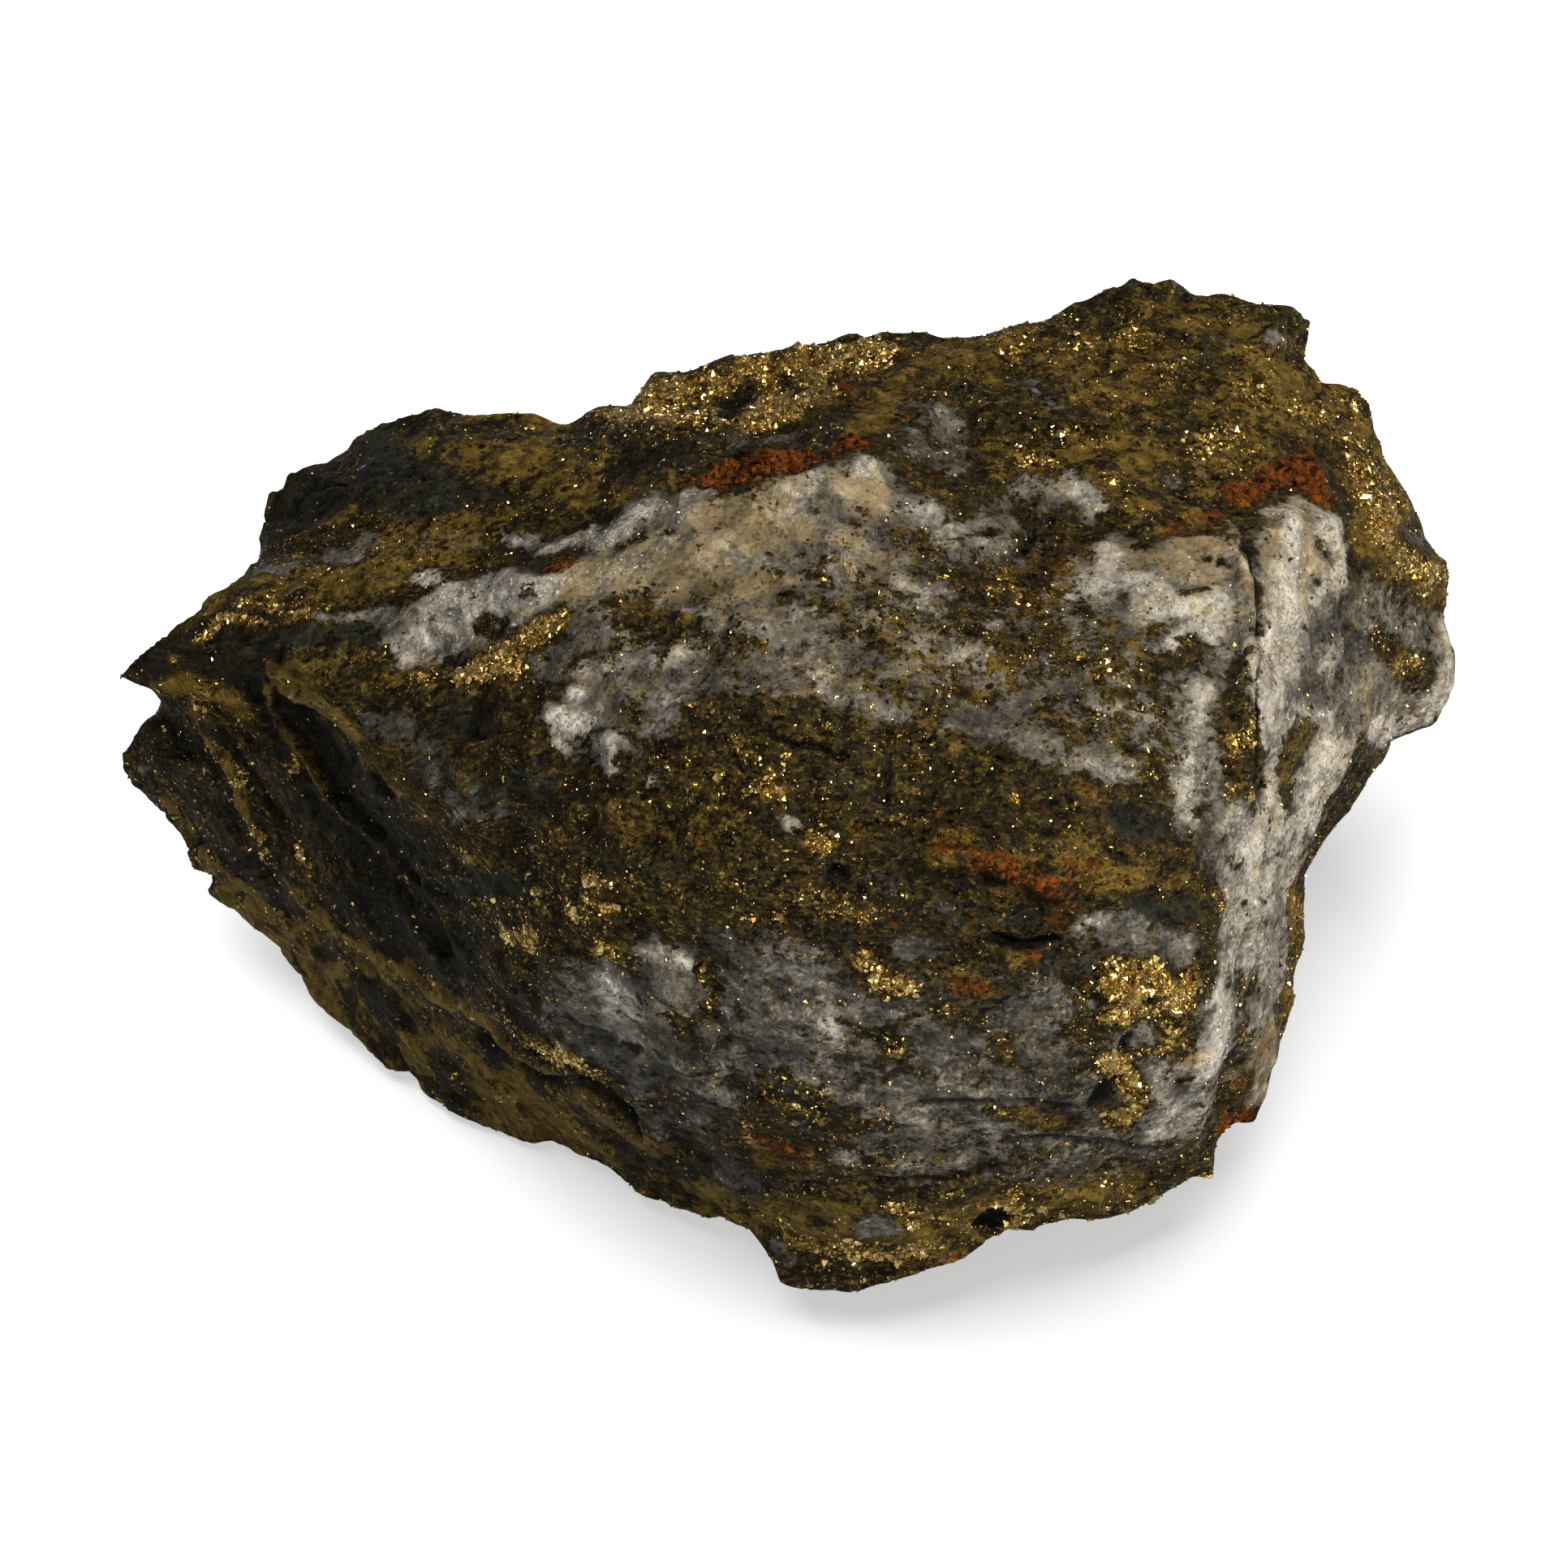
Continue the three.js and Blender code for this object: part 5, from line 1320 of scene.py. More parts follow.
    def roughen(self, places_mm: np.ndarray, ways: np.ndarray) -> np.ndarray:
        """Gives the points their lumps, ledges and grain.

        Args:
            places_mm: The mesh's points.
            ways: The outward direction at each.

        Returns:
            The moved points.
        """
        quartz = self.fields[:, Field.QUARTZ.value]
        milk = self.fields[:, Field.MILK.value] * quartz
        rust = self.fields[:, Field.RUST.value]
        dark = self.fields[:, Field.DARK.value]
        bedded = bedded_places(places_mm, self.layer, self.lamina_along)
        rise = WIDE_FACETS.rise_mm(places_mm, self.layer) * (1 - 0.35 * quartz + 0.8 * dark)
        rise += NARROW_FACETS.rise_mm(places_mm, self.layer) * (1 - 0.45 * quartz)
        rise = self.blur(rise[:, None], self.facet_blur_rounds)[:, 0]
        rise += self.lump_mm * LUMPS.values(places_mm)
        rise += self.lamina_mm * LAMINAE.values(bedded) * (1 - 0.4 * quartz)
        grit_mm = self.grit_mm + self.milk_grit_mm * smooth_step(milk, 0.35, 0.9) + self.rust_grit_mm * rust
        rise += GRIT.values(places_mm) * grit_mm
        return places_mm + ways * rise[:, None]

    def carve(self, moved: np.ndarray, places_mm: np.ndarray, ways: np.ndarray) -> np.ndarray:
        """Cuts the cracks and hollows, raises the lips and keeps how much painted shade each crack gets.

        Args:
            moved: The points as they are now.
            places_mm: The points before any relief, on which the paths lie.
            ways: The outward direction at each.

        Returns:
            The moved points.
        """
        for entry in CUTS.values():
            # Painted shade in the crack, full from full_crack_mm deep; the finish darkens the colour by it.
            shadow = min(1.0, entry.depth_mm / self.full_crack_mm)
            for path in entry.paths:
                near, gaps = self.nearness(path, places_mm, self.cut_reach)
                share = np.clip(1 - (gaps / self.cut_reach) ** 2, 0, 1) ** 2
                moved[near] -= ways[near] * (share * entry.depth_mm)[:, None]
                if entry.depth_mm > 0:
                    self.crack_shade[near] = np.maximum(self.crack_shade[near], share * shadow)
        return moved

    def hollows(self, mesh: Mesh) -> np.ndarray:
        """Returns how deep each point lies below its neighbours, from -1 on an edge to 1 in a hollow."""
        start = points_of(mesh)
        lift = self.blur(start, self.hollow_rounds) - start
        depth_mm = np.sum(lift * normals_of(mesh), axis=1) / METRES_PER_MM
        return np.clip(depth_mm / self.hollow_depth_mm, -1, 1)


class Graph:
    """A node tree with short calls that add a node, set its inputs and wire it."""

    def __init__(self, tree: bpy.types.NodeTree) -> None:
        """Keeps the tree that the calls add to."""
        self.tree = tree

    def add(self, kind: str, **settings: object) -> Node:
        """Returns a new node of that kind, with the settings given."""
        node = self.tree.nodes.new(kind)
        for name, value in settings.items():
            setattr(node, name, value)
        return node

    def feed(self, socket: Socket, value: object) -> None:
        """Wires a socket into another, or gives it a plain value."""
        if isinstance(value, Socket):
            self.tree.links.new(value, socket)
        elif value is not None:
            socket.default_value = value

    def math(self, operation: str, first: object, second: object = None, third: object = None,
             clamp: bool = False) -> Socket:
        """Returns the result of a sum on one to three values."""
        node = self.add("ShaderNodeMath", operation=operation, use_clamp=clamp)
        for socket, value in zip(node.inputs, (first, second, third)):
            self.feed(socket, value)
        return node.outputs[0]

    def times(self, first: object, second: object) -> Socket:
        """Returns one value times another."""
        return self.math("MULTIPLY", first, second)

    def plus(self, first: object, second: object) -> Socket:
        """Returns the sum of two values."""
        return self.math("ADD", first, second)

    def swing(self, value: object, amount: float) -> Socket:
        """Returns how far a value is above a half, times an amount."""
        return self.times(self.math("SUBTRACT", value, 0.5), amount)

    def less(self, value: object, amount: float) -> Socket:
        """Returns one less a value times an amount."""
        return self.math("SUBTRACT", 1.0, self.times(value, amount))

    def vector(self, operation: str, first: object, second: object = None,
               scale: object = None) -> Socket:
        """Returns the result of a sum on one or two vectors."""
        node = self.add("ShaderNodeVectorMath", operation=operation)
        self.feed(node.inputs[0], first)
        self.feed(node.inputs[1], second)
        self.feed(node.inputs[3], scale)
        return node.outputs[0]

    def noise(self, place: object, scale: float, detail: float = 3.0, roughness: float = 0.55,
              colour: bool = False) -> Socket:
        """Returns smooth noise at a place, as a value or as a colour."""
        node = self.add("ShaderNodeTexNoise")
        self.feed(node.inputs["Vector"], place)
        self.feed(node.inputs["Scale"], scale)
        self.feed(node.inputs["Detail"], detail)
        self.feed(node.inputs["Roughness"], roughness)
        return node.outputs[1 if colour else 0]

    def cells(self, place: object, scale: float, feature: str = "F1") -> Node:
        """Returns a node that parts the place into cells, each with a distance and a colour of its own."""
        node = self.add("ShaderNodeTexVoronoi", feature=feature)
        self.feed(node.inputs["Vector"], place)
        self.feed(node.inputs["Scale"], scale)
        return node

    def mix(self, share: object, first: object, second: object, how: str = "MIX") -> Socket:
        """Returns a mix of two colours."""
        node = self.add("ShaderNodeMix", data_type="RGBA", blend_type=how, clamp_factor=True)
        self.feed(node.inputs[0], share)
        self.feed(node.inputs[6], (*first, 1.0) if isinstance(first, tuple) else first)
        self.feed(node.inputs[7], (*second, 1.0) if isinstance(second, tuple) else second)
        return node.outputs[2]

    def shade(self, colour: object, value: object) -> Socket:
        """Returns a colour times a value, which may be above 1."""
        joined = self.add("ShaderNodeCombineXYZ")
        for socket in joined.inputs:
            self.feed(socket, value)
        return self.mix(1.0, colour, joined.outputs[0], "MULTIPLY")

    def bump(self, height: object, strength: object, depth_mm: float, normal: object = None) -> Socket:
        """Returns the surface's direction, bent by a height that is worth so many millimetres."""
        node = self.add("ShaderNodeBump")
        self.feed(node.inputs["Strength"], strength)
        self.feed(node.inputs["Distance"], depth_mm * METRES_PER_MM)
        self.feed(node.inputs["Height"], height)
        self.feed(node.inputs["Normal"], normal)
        return node.outputs[0]

    def span(self, value: object, low: object, high: object, start: float = 0.0,
             end: float = 1.0, how: str = "SMOOTHSTEP") -> Socket:
        """Returns start below low, end above high and a ramp between."""
        node = self.add("ShaderNodeMapRange", interpolation_type=how)
        for socket, number in zip(node.inputs, (value, low, high, start, end)):
            self.feed(socket, number)
        return node.outputs[0]

    def ramp(self, value: object, stops: tuple[tuple[float, Colour], ...]) -> Socket:
        """Returns a colour that runs through the stops as the value goes from 0 to 1."""
        node = self.add("ShaderNodeValToRGB")
        elements = node.color_ramp.elements
        while len(elements) < len(stops):
            elements.new(0.5)
        for element, (place, colour) in zip(elements, stops):
            element.position = place
            element.color = (*colour, 1.0)
        self.feed(node.inputs[0], value)
        return node.outputs[0]

    def attribute(self, name: str) -> Socket:
        """Returns a number stored at the mesh's points."""
        return self.add("ShaderNodeAttribute", attribute_name=name).outputs["Fac"]

    def for_eye(self, unseen: object, seen: object) -> Socket:
        """Returns a shader that is one thing to the eye and another to all the rest of the light."""
        choice = self.add("ShaderNodeMixShader")
        self.feed(choice.inputs[0], self.add("ShaderNodeLightPath").outputs["Is Camera Ray"])
        self.feed(choice.inputs[1], unseen)
        self.feed(choice.inputs[2], seen)
        return choice.outputs[0]

    def group(self, tree: bpy.types.NodeTree, **values: object) -> Node:
        """Returns a node that places a shared group, with its inputs fed by name."""
        node = self.add("ShaderNodeGroup")
        node.node_tree = tree
        for name, value in values.items():
            self.feed(node.inputs[name.replace("_", " ")], value)
        return node


def new_group(name: str, inputs: dict[str, str], outputs: dict[str, str]
              ) -> tuple[Graph, dict[str, Socket], Node]:
    """Starts a shared shader group.

    Args:
        name: The group's name.
        inputs: The input sockets' names and kinds.
        outputs: The output sockets' names and kinds.

    Returns:
        The group's graph, its input sockets by name and its output node.
    """
    tree = bpy.data.node_groups.new(name, "ShaderNodeTree")
    for in_out, sockets in (("INPUT", inputs), ("OUTPUT", outputs)):
        for socket, kind in sockets.items():
            tree.interface.new_socket(socket, in_out=in_out, socket_type=kind)
    graph = Graph(tree)
    start = graph.add("NodeGroupInput")
    end = graph.add("NodeGroupOutput")
    return graph, {socket.name: socket for socket in start.outputs if socket.name}, end


NUMBER = "NodeSocketFloat"
ARROW = "NodeSocketVector"
MIDDLE = (0.5, 0.5, 0.5)


class SharedGroups:
    """The shader groups that the stone's finish is put together from."""

    warp_scale: float = 0.5
    warp_mm: float = 0.7
    along: float = 0.68

    def __init__(self) -> None:
        """Builds each group once."""
        self.place = self.make_place()
        self.fray = self.make_fray()
        self.grains = self.make_grains()
        self.facets = self.make_facets()

    def make_place(self) -> bpy.types.NodeTree:
        """Returns the group that turns object coordinates into warped millimetres, plain and bedded."""
        graph, start, end = new_group("place_in_stone", {"Object": ARROW, "Layer": NUMBER},
                                      {"Place": ARROW, "Bedded": ARROW})
        place = graph.vector("SCALE", start["Object"], scale=1 / METRES_PER_MM)
        bend = graph.noise(place, self.warp_scale, 2.0, 0.5, colour=True)
        warp = graph.vector("SUBTRACT", bend, MIDDLE)
        warped = graph.vector("ADD", place, graph.vector("SCALE", warp, scale=self.warp_mm))
        split = graph.add("ShaderNodeSeparateXYZ")
        graph.feed(split.inputs[0], warped)
        joined = graph.add("ShaderNodeCombineXYZ")
        graph.feed(joined.inputs[0], graph.times(split.outputs[0], self.along))
        graph.feed(joined.inputs[1], graph.times(split.outputs[1], self.along))
        graph.feed(joined.inputs[2], start["Layer"])
        graph.feed(end.inputs["Place"], warped)
        graph.feed(end.inputs["Bedded"], joined.outputs[0])
        return graph.tree

    def make_fray(self) -> bpy.types.NodeTree:
        """Returns the group that turns a field, read as the share that is covered, into frayed patches."""
        graph, start, end = new_group("frayed_patch", {"Field": NUMBER, "Ripple": NUMBER, "Spread": NUMBER,
                                                       "Softness": NUMBER}, {"Mask": NUMBER})
        low = graph.math("SUBTRACT", 0.5, start["Spread"])
        high = graph.math("ADD", 0.5, start["Spread"])
        even = graph.span(start["Ripple"], low, high, how="LINEAR")
        wider = graph.math("MULTIPLY_ADD", start["Softness"], 2.0, 1.0)
        value = graph.math("SUBTRACT", graph.times(start["Field"], wider), start["Softness"])
        value = graph.math("SUBTRACT", value, even)
        below = graph.times(start["Softness"], -1.0)
        graph.feed(end.inputs["Mask"], graph.span(value, below, start["Softness"]))
        return graph.tree

    def make_grains(self) -> bpy.types.NodeTree:
        """Returns the group that parts the stone into crystal grains."""
        graph, start, end = new_group("crystal_grains", {"Place": ARROW, "Scale": NUMBER},
                                      {"Height": NUMBER, "Pick": NUMBER, "Tone": NUMBER, "Tilt": ARROW})
        cells = graph.cells(start["Place"], 1.0)
        graph.feed(cells.inputs["Scale"], start["Scale"])
        split = graph.add("ShaderNodeSeparateColor")
        graph.feed(split.inputs[0], cells.outputs["Color"])
        graph.feed(end.inputs["Height"], graph.math("SUBTRACT", 1.0, cells.outputs["Distance"]))
        graph.feed(end.inputs["Pick"], split.outputs[0])
        graph.feed(end.inputs["Tone"], split.outputs[1])
        graph.feed(end.inputs["Tilt"], graph.vector("SUBTRACT", cells.outputs["Color"], MIDDLE))
        return graph.tree

    def make_facets(self) -> bpy.types.NodeTree:
        """Returns the group that turns the surface's direction by a grain's own tilt."""
        graph, start, end = new_group("facet_normal", {"Normal": ARROW, "Tilt": ARROW, "Amount": NUMBER},
                                      {"Normal": ARROW})
        push = graph.vector("SCALE", start["Tilt"], scale=start["Amount"])
        turned = graph.vector("ADD", start["Normal"], push)
        graph.feed(end.inputs["Normal"], graph.vector("NORMALIZE", turned))
        return graph.tree


def new_material(name: str) -> tuple[bpy.types.Material, Graph, Node]:
    """Returns a new material, its graph and its main shader."""
    material = bpy.data.materials.new(name)
    material.use_nodes = True
    graph = Graph(material.node_tree)
    return material, graph, material.node_tree.nodes["Principled BSDF"]


@dataclass(frozen=True)
class OreFinish:
    """The finish of the broken surface: groundmass, quartz, pyrite, stains and slate by their fields."""

    name: str = "broken_ore"
    ground_black: Colour = (0.005, 0.004, 0.002)
    ground_dark: Colour = (0.019, 0.0130, 0.0040)
    ground_olive: Colour = (0.048, 0.034, 0.007)
    ground_tan: Colour = (0.098, 0.063, 0.012)
    ground_pale: Colour = (0.16, 0.12, 0.045)
    ochre_deep: Colour = (0.078, 0.049, 0.008)
    ochre_light: Colour = (0.20, 0.130, 0.023)
    rust_deep: Colour = (0.022, 0.009, 0.002)
    rust_light: Colour = (0.18, 0.058, 0.008)
    dark: Colour = (0.022, 0.021, 0.012)
    slate: Colour = (0.024, 0.028, 0.019)
    quartz_smoky: Colour = (0.050, 0.047, 0.040)
    quartz_grey: Colour = (0.175, 0.160, 0.130)
    cream_shade: Colour = (0.24, 0.172, 0.075)
    quartz_cream: Colour = (0.36, 0.268, 0.128)
    cream_light: Colour = (0.58, 0.46, 0.28)
    quartz_snow: Colour = (0.63, 0.60, 0.53)
    pyrite_deep: Colour = (0.14, 0.080, 0.010)
    pyrite_light: Colour = (0.95, 0.64, 0.18)
    grain_scale: float = 4.4
    chip_scale: float = 3.0
    facet_scale: float = 1.25
    grain_tone: float = 0.13
    crust_shift: Point = (31.0, 17.0, 5.0)
    clot_shift: Point = (9.0, 21.0, 3.0)
    speck_shift: Point = (3.0, 8.0, 2.0)
    # Painted shade of pits: the share of cells that get it, and how much darker they are.
    pit_share: float = 0.07
    pit_shadow_strength: float = 0.6
    specular: float = 0.12
    bump_mm: float = 0.3

    def make(self, groups: SharedGroups) -> bpy.types.Material:
        """Builds the material.

        Args:
            groups: The shared shader groups.

        Returns:
            The material.
        """
        material, graph, shader = new_material(self.name)
        object_place = graph.add("ShaderNodeTexCoord").outputs["Object"]
        warped = graph.group(groups.place, Object=object_place, Layer=graph.attribute("layer"))
        place, bedded = warped.outputs["Place"], warped.outputs["Bedded"]
        streaky = graph.noise(bedded, 1.0, 4.0, 0.6)
        fine = graph.noise(place, 2.0, 3.0, 0.65)
        other = graph.noise(graph.vector("ADD", bedded, self.crust_shift), 0.9, 4.0, 0.65)
        clots = graph.noise(graph.vector("ADD", place, self.clot_shift), 1.1, 4.0, 0.7)
        grains = graph.group(groups.grains, Place=place, Scale=self.grain_scale)
        chips = graph.group(groups.grains, Place=bedded, Scale=self.chip_scale)
        facets = graph.group(groups.grains, Place=place, Scale=self.facet_scale)
        granular = graph.plus(graph.swing(chips.outputs["Tone"], self.grain_tone),
                              graph.swing(grains.outputs["Tone"], self.grain_tone))
        waves = graph.math("MULTIPLY_ADD", streaky, 0.6, graph.times(fine, 0.4))
        ripple = graph.math("MULTIPLY_ADD", granular, 0.45, waves)
        crusty = graph.plus(granular, other)
        field = {item: graph.attribute(item.name.lower()) for item in Field}

        def patch(share: object, wave: object, spread: float, softness: float) -> Socket:
            """Returns the frayed mask of a share of cover."""
            node = graph.group(groups.fray, Field=share, Ripple=wave, Spread=spread, Softness=softness)
            return node.outputs["Mask"]

        quartz = patch(field[Field.QUARTZ], ripple, 0.13, 0.2)
        ochre = patch(field[Field.OCHRE], crusty, 0.2, 0.08)
        dark = patch(field[Field.DARK], ripple, 0.15, 0.12)
        slate = patch(field[Field.SLATE], crusty, 0.2, 0.12)
        rust = patch(field[Field.RUST], crusty, 0.2, 0.05)

        colour = self.ground(graph, bedded, granular)
        colour = graph.mix(ochre, colour, self.ochre(graph, bedded, granular))
        colour = graph.mix(slate, colour, self.slaty(graph, bedded))
        # The dark mask is black rock, and painted shade where the dark marks lie along cracks, in pits and
        # under ledges.
        colour = graph.mix(graph.times(dark, 0.9), colour, self.shadowy(graph, bedded, granular))
        clear = self.quartz(graph, (place, bedded), field, (grains, facets), granular)
        colour = graph.mix(quartz, colour, clear)
        rusty = graph.span(graph.plus(granular, graph.noise(place, 1.6, 4.0, 0.7)), 0.3, 0.75)
        colour = graph.mix(rust, colour, graph.mix(rusty, self.rust_deep, self.rust_light))

        share = graph.times(graph.math("POWER", field[Field.PYRITE], 1.9), 0.85)
        share = graph.times(share, graph.less(quartz, 0.7))
        lumps = patch(share, graph.plus(granular, clots), 0.2, 0.03)
        odds = graph.math("MULTIPLY_ADD", field[Field.PYRITE], 0.2, -0.02)
        odds = graph.plus(odds, graph.swing(other, 0.5))
        specks = graph.math("LESS_THAN", grains.outputs["Pick"], odds)
        pyrite = graph.math("MAXIMUM", lumps, specks)
        # Each pyrite cell takes a random tone, darkened towards the chips' edges as painted shade in the gaps
        # between grains.
        half = graph.times(chips.outputs["Tone"], 0.5)
        tone_and_gap_shade = graph.math("MULTIPLY_ADD", facets.outputs["Tone"], 0.5, half)
        tone_and_gap_shade = graph.times(graph.span(tone_and_gap_shade, 0.1, 0.8), graph.span(chips.outputs["Height"], 0.25, 0.6))
        colour = graph.mix(pyrite, colour, graph.mix(tone_and_gap_shade, self.pyrite_deep, self.pyrite_light))
        # Painted shade and highlight: darker in hollows and lighter on edges by the hollow depth, far darker
        # in cracks, and darker in scattered cells as painted shade of pits.
        shade = graph.span(graph.attribute("hollow"), -0.6, 0.9, 1.15, 0.5)
        shade = graph.times(shade, graph.span(graph.attribute("crack_shade"), 0.05, 0.7, 1.0, 0.12))
        fewer = graph.plus(chips.outputs["Pick"], graph.times(quartz, 0.1))
        pit_shadows = graph.math("LESS_THAN", fewer, self.pit_share)
        shade = graph.times(shade, graph.less(pit_shadows, self.pit_shadow_strength))
        colour = graph.shade(colour, shade)

        graph.feed(shader.inputs["Base Color"], colour)
        graph.feed(shader.inputs["Metallic"], pyrite)
        matt = graph.plus(0.7, graph.times(rust, 0.25))
        matt = graph.math("SUBTRACT", matt, graph.times(quartz, 0.22))
        polish = graph.span(facets.outputs["Pick"], 0.0, 1.0, 0.06, 0.36)
        shine = graph.math("MULTIPLY_ADD", lumps, polish, 0.14)
        graph.feed(shader.inputs["Roughness"], graph.span(pyrite, 0.0, 1.0, matt, shine, "LINEAR"))
        shader.inputs["Specular IOR Level"].default_value = self.specular
        graph.feed(shader.inputs["Normal"],
                   self.relief(graph, groups, (grains, chips, facets), quartz, (lumps, pyrite), fine))
        return material

    def ground(self, graph: Graph, bedded: object, granular: object) -> Socket:
        """Returns the groundmass's colour: black, olive, tan and pale grains, streaked along the layers."""
        value = graph.math("MULTIPLY_ADD", granular, 1.6, graph.noise(bedded, 1.7, 5.0, 0.75))
        even = graph.span(value, 0.32, 0.72, how="LINEAR")
        return graph.ramp(even, ((0.08, self.ground_black), (0.4, self.ground_dark),
                                 (0.72, self.ground_olive), (0.96, self.ground_tan),
                                 (1.0, self.ground_pale)))

    def ochre(self, graph: Graph, bedded: object, granular: object) -> Socket:
        """Returns the colour of the earthy ochre coat, streaked along the layers."""
        streak = graph.span(graph.plus(graph.noise(bedded, 1.6, 4.0, 0.65), granular), 0.32, 0.72)
        return graph.mix(streak, self.ochre_deep, self.ochre_light)

    def slaty(self, graph: Graph, bedded: object) -> Socket:
        """Returns the colour of the greenish slate, darker between its layers."""
        return graph.mix(graph.span(graph.noise(bedded, 3.0, 5.0, 0.75), 0.35, 0.65), self.dark, self.slate)

    def shadowy(self, graph: Graph, bedded: object, granular: object) -> Socket:
        """Returns the colour of the darkest rock, also used as painted shade: black, with olive brown here
        and there.
        """
        value = graph.plus(graph.noise(bedded, 1.0, 5.0, 0.7), granular)
        return graph.ramp(graph.span(value, 0.3, 0.75, how="LINEAR"),
                          ((0.15, self.ground_black), (0.6, self.dark), (1.0, self.ground_olive)))

    def quartz(self, graph: Graph, places: tuple[object, object], field: dict,
               crystals: tuple[Node, Node], granular: object) -> Socket:
        """Returns the colour of the quartz: smoky to snowy, cream where it is warm, with fine dark specks."""
        place, bedded = places
        grains, facets = crystals
        cloud = graph.plus(graph.noise(bedded, 0.9, 4.0, 0.62), graph.noise(place, 1.6, 5.0, 0.75))
        cloud = graph.math("MULTIPLY_ADD", cloud, 0.65, -0.65)
        crystal = graph.math("MULTIPLY_ADD", granular, 2.0, graph.swing(facets.outputs["Tone"], 0.24))
        milk = graph.plus(field[Field.MILK], graph.math("MULTIPLY_ADD", cloud, 0.95, crystal))
        cool = graph.ramp(milk, ((0.0, self.quartz_smoky), (0.4, self.quartz_grey),
                                 (0.95, self.quartz_snow)))
        warm = graph.plus(field[Field.WARMTH], graph.swing(graph.noise(place, 0.5, 3.0, 0.6), 1.8))
        cream = graph.ramp(milk, ((0.1, self.cream_shade), (0.5, self.quartz_cream),
                                  (0.85, self.cream_light)))
        colour = graph.mix(graph.times(graph.span(warm, 0.25, 0.95), 0.75), cool, cream)
        patches = graph.noise(graph.vector("ADD", place, self.speck_shift), 0.7, 2.0, 0.5)
        odds = graph.span(patches, 0.42, 0.66, 0.0, 0.30)
        odds = graph.times(odds, graph.span(field[Field.MILK], 0.25, 0.45, 0.9, 0.04))
        speck = graph.math("GREATER_THAN", grains.outputs["Pick"], graph.math("SUBTRACT", 1.0, odds))
        tone = graph.less(speck, 0.6)
        return graph.shade(colour, tone)

    def relief(self, graph: Graph, groups: SharedGroups, crystals: tuple[Node, ...], quartz: object,
               sulphide: tuple[object, object], fine: object) -> Socket:
        """Gives the surface's direction: facets of three sizes, over a granular bump.

        Args:
            graph: The material's graph.
            groups: The shared shader groups.
            crystals: The fine, middle and wide crystal grains.
            quartz: Where quartz is.
            sulphide: Where the lumps of pyrite are, and where any pyrite is.
            fine: Fine smooth noise.

        Returns:
            The direction.
        """
        grains, chips, facets = crystals
        lumps, pyrite = sulphide
        normal = graph.add("ShaderNodeNewGeometry").outputs["Normal"]
        wide = graph.group(groups.facets, Normal=normal, Tilt=facets.outputs["Tilt"],
                           Amount=graph.math("MULTIPLY_ADD", lumps, 1.6, graph.times(quartz, 0.5)))
        middle = graph.group(groups.facets, Normal=wide.outputs["Normal"], Tilt=chips.outputs["Tilt"],
                             Amount=graph.less(quartz, 0.66))
        rougher = graph.math("MULTIPLY_ADD", pyrite, 0.5, 0.8)
        small = graph.group(groups.facets, Normal=middle.outputs["Normal"], Tilt=grains.outputs["Tilt"],
                            Amount=graph.math("SUBTRACT", rougher, graph.times(quartz, 0.38)))
        height = graph.times(graph.plus(grains.outputs["Height"], chips.outputs["Height"]), 0.25)
        height = graph.math("MULTIPLY_ADD", fine, 0.4, height)
        strength = graph.span(quartz, 0.0, 1.0, 0.6, 0.36, "LINEAR")
        return graph.bump(height, strength, self.bump_mm, small.outputs["Normal"])


@dataclass(frozen=True)
class GrainFinish:
    """The finish of loose-looking grains, each with a tone of its own."""

    name: str
    deep: Colour
    light: Colour
    metallic: float
    specular: float
    roughness: float
    mottle: float
    rougher: float = 0.12
    smoother: float = 0.06
    bump_strength: float = 0.25
    bump_mm: float = 0.05

    def make(self) -> bpy.types.Material:
        """Returns the material: a colour by the grain's tone, mottled within the grain."""
        material, graph, shader = new_material(self.name)
        object_place = graph.add("ShaderNodeTexCoord").outputs["Object"]
        place = graph.vector("SCALE", object_place, scale=1 / METRES_PER_MM)
        blotch = graph.swing(graph.noise(place, 4.0, 3.0, 0.6), self.mottle)
        tone = graph.math("ADD", graph.attribute("tone"), blotch, clamp=True)
        graph.feed(shader.inputs["Base Color"], graph.mix(tone, self.deep, self.light))
        dull = self.roughness + self.rougher
        bright = self.roughness - self.smoother
        graph.feed(shader.inputs["Roughness"], graph.span(tone, 0.0, 1.0, dull, bright, "LINEAR"))
        shader.inputs["Metallic"].default_value = self.metallic
        shader.inputs["Specular IOR Level"].default_value = self.specular
        bump = graph.bump(graph.noise(place, 9.0, 3.0, 0.6), self.bump_strength, self.bump_mm)
        graph.feed(shader.inputs["Normal"], bump)
        return material


class GrainShape(Enum):
    """The shape that a grain starts from."""

    CHIP = "irregular chip"
    SPARK = "sharp four-sided point"


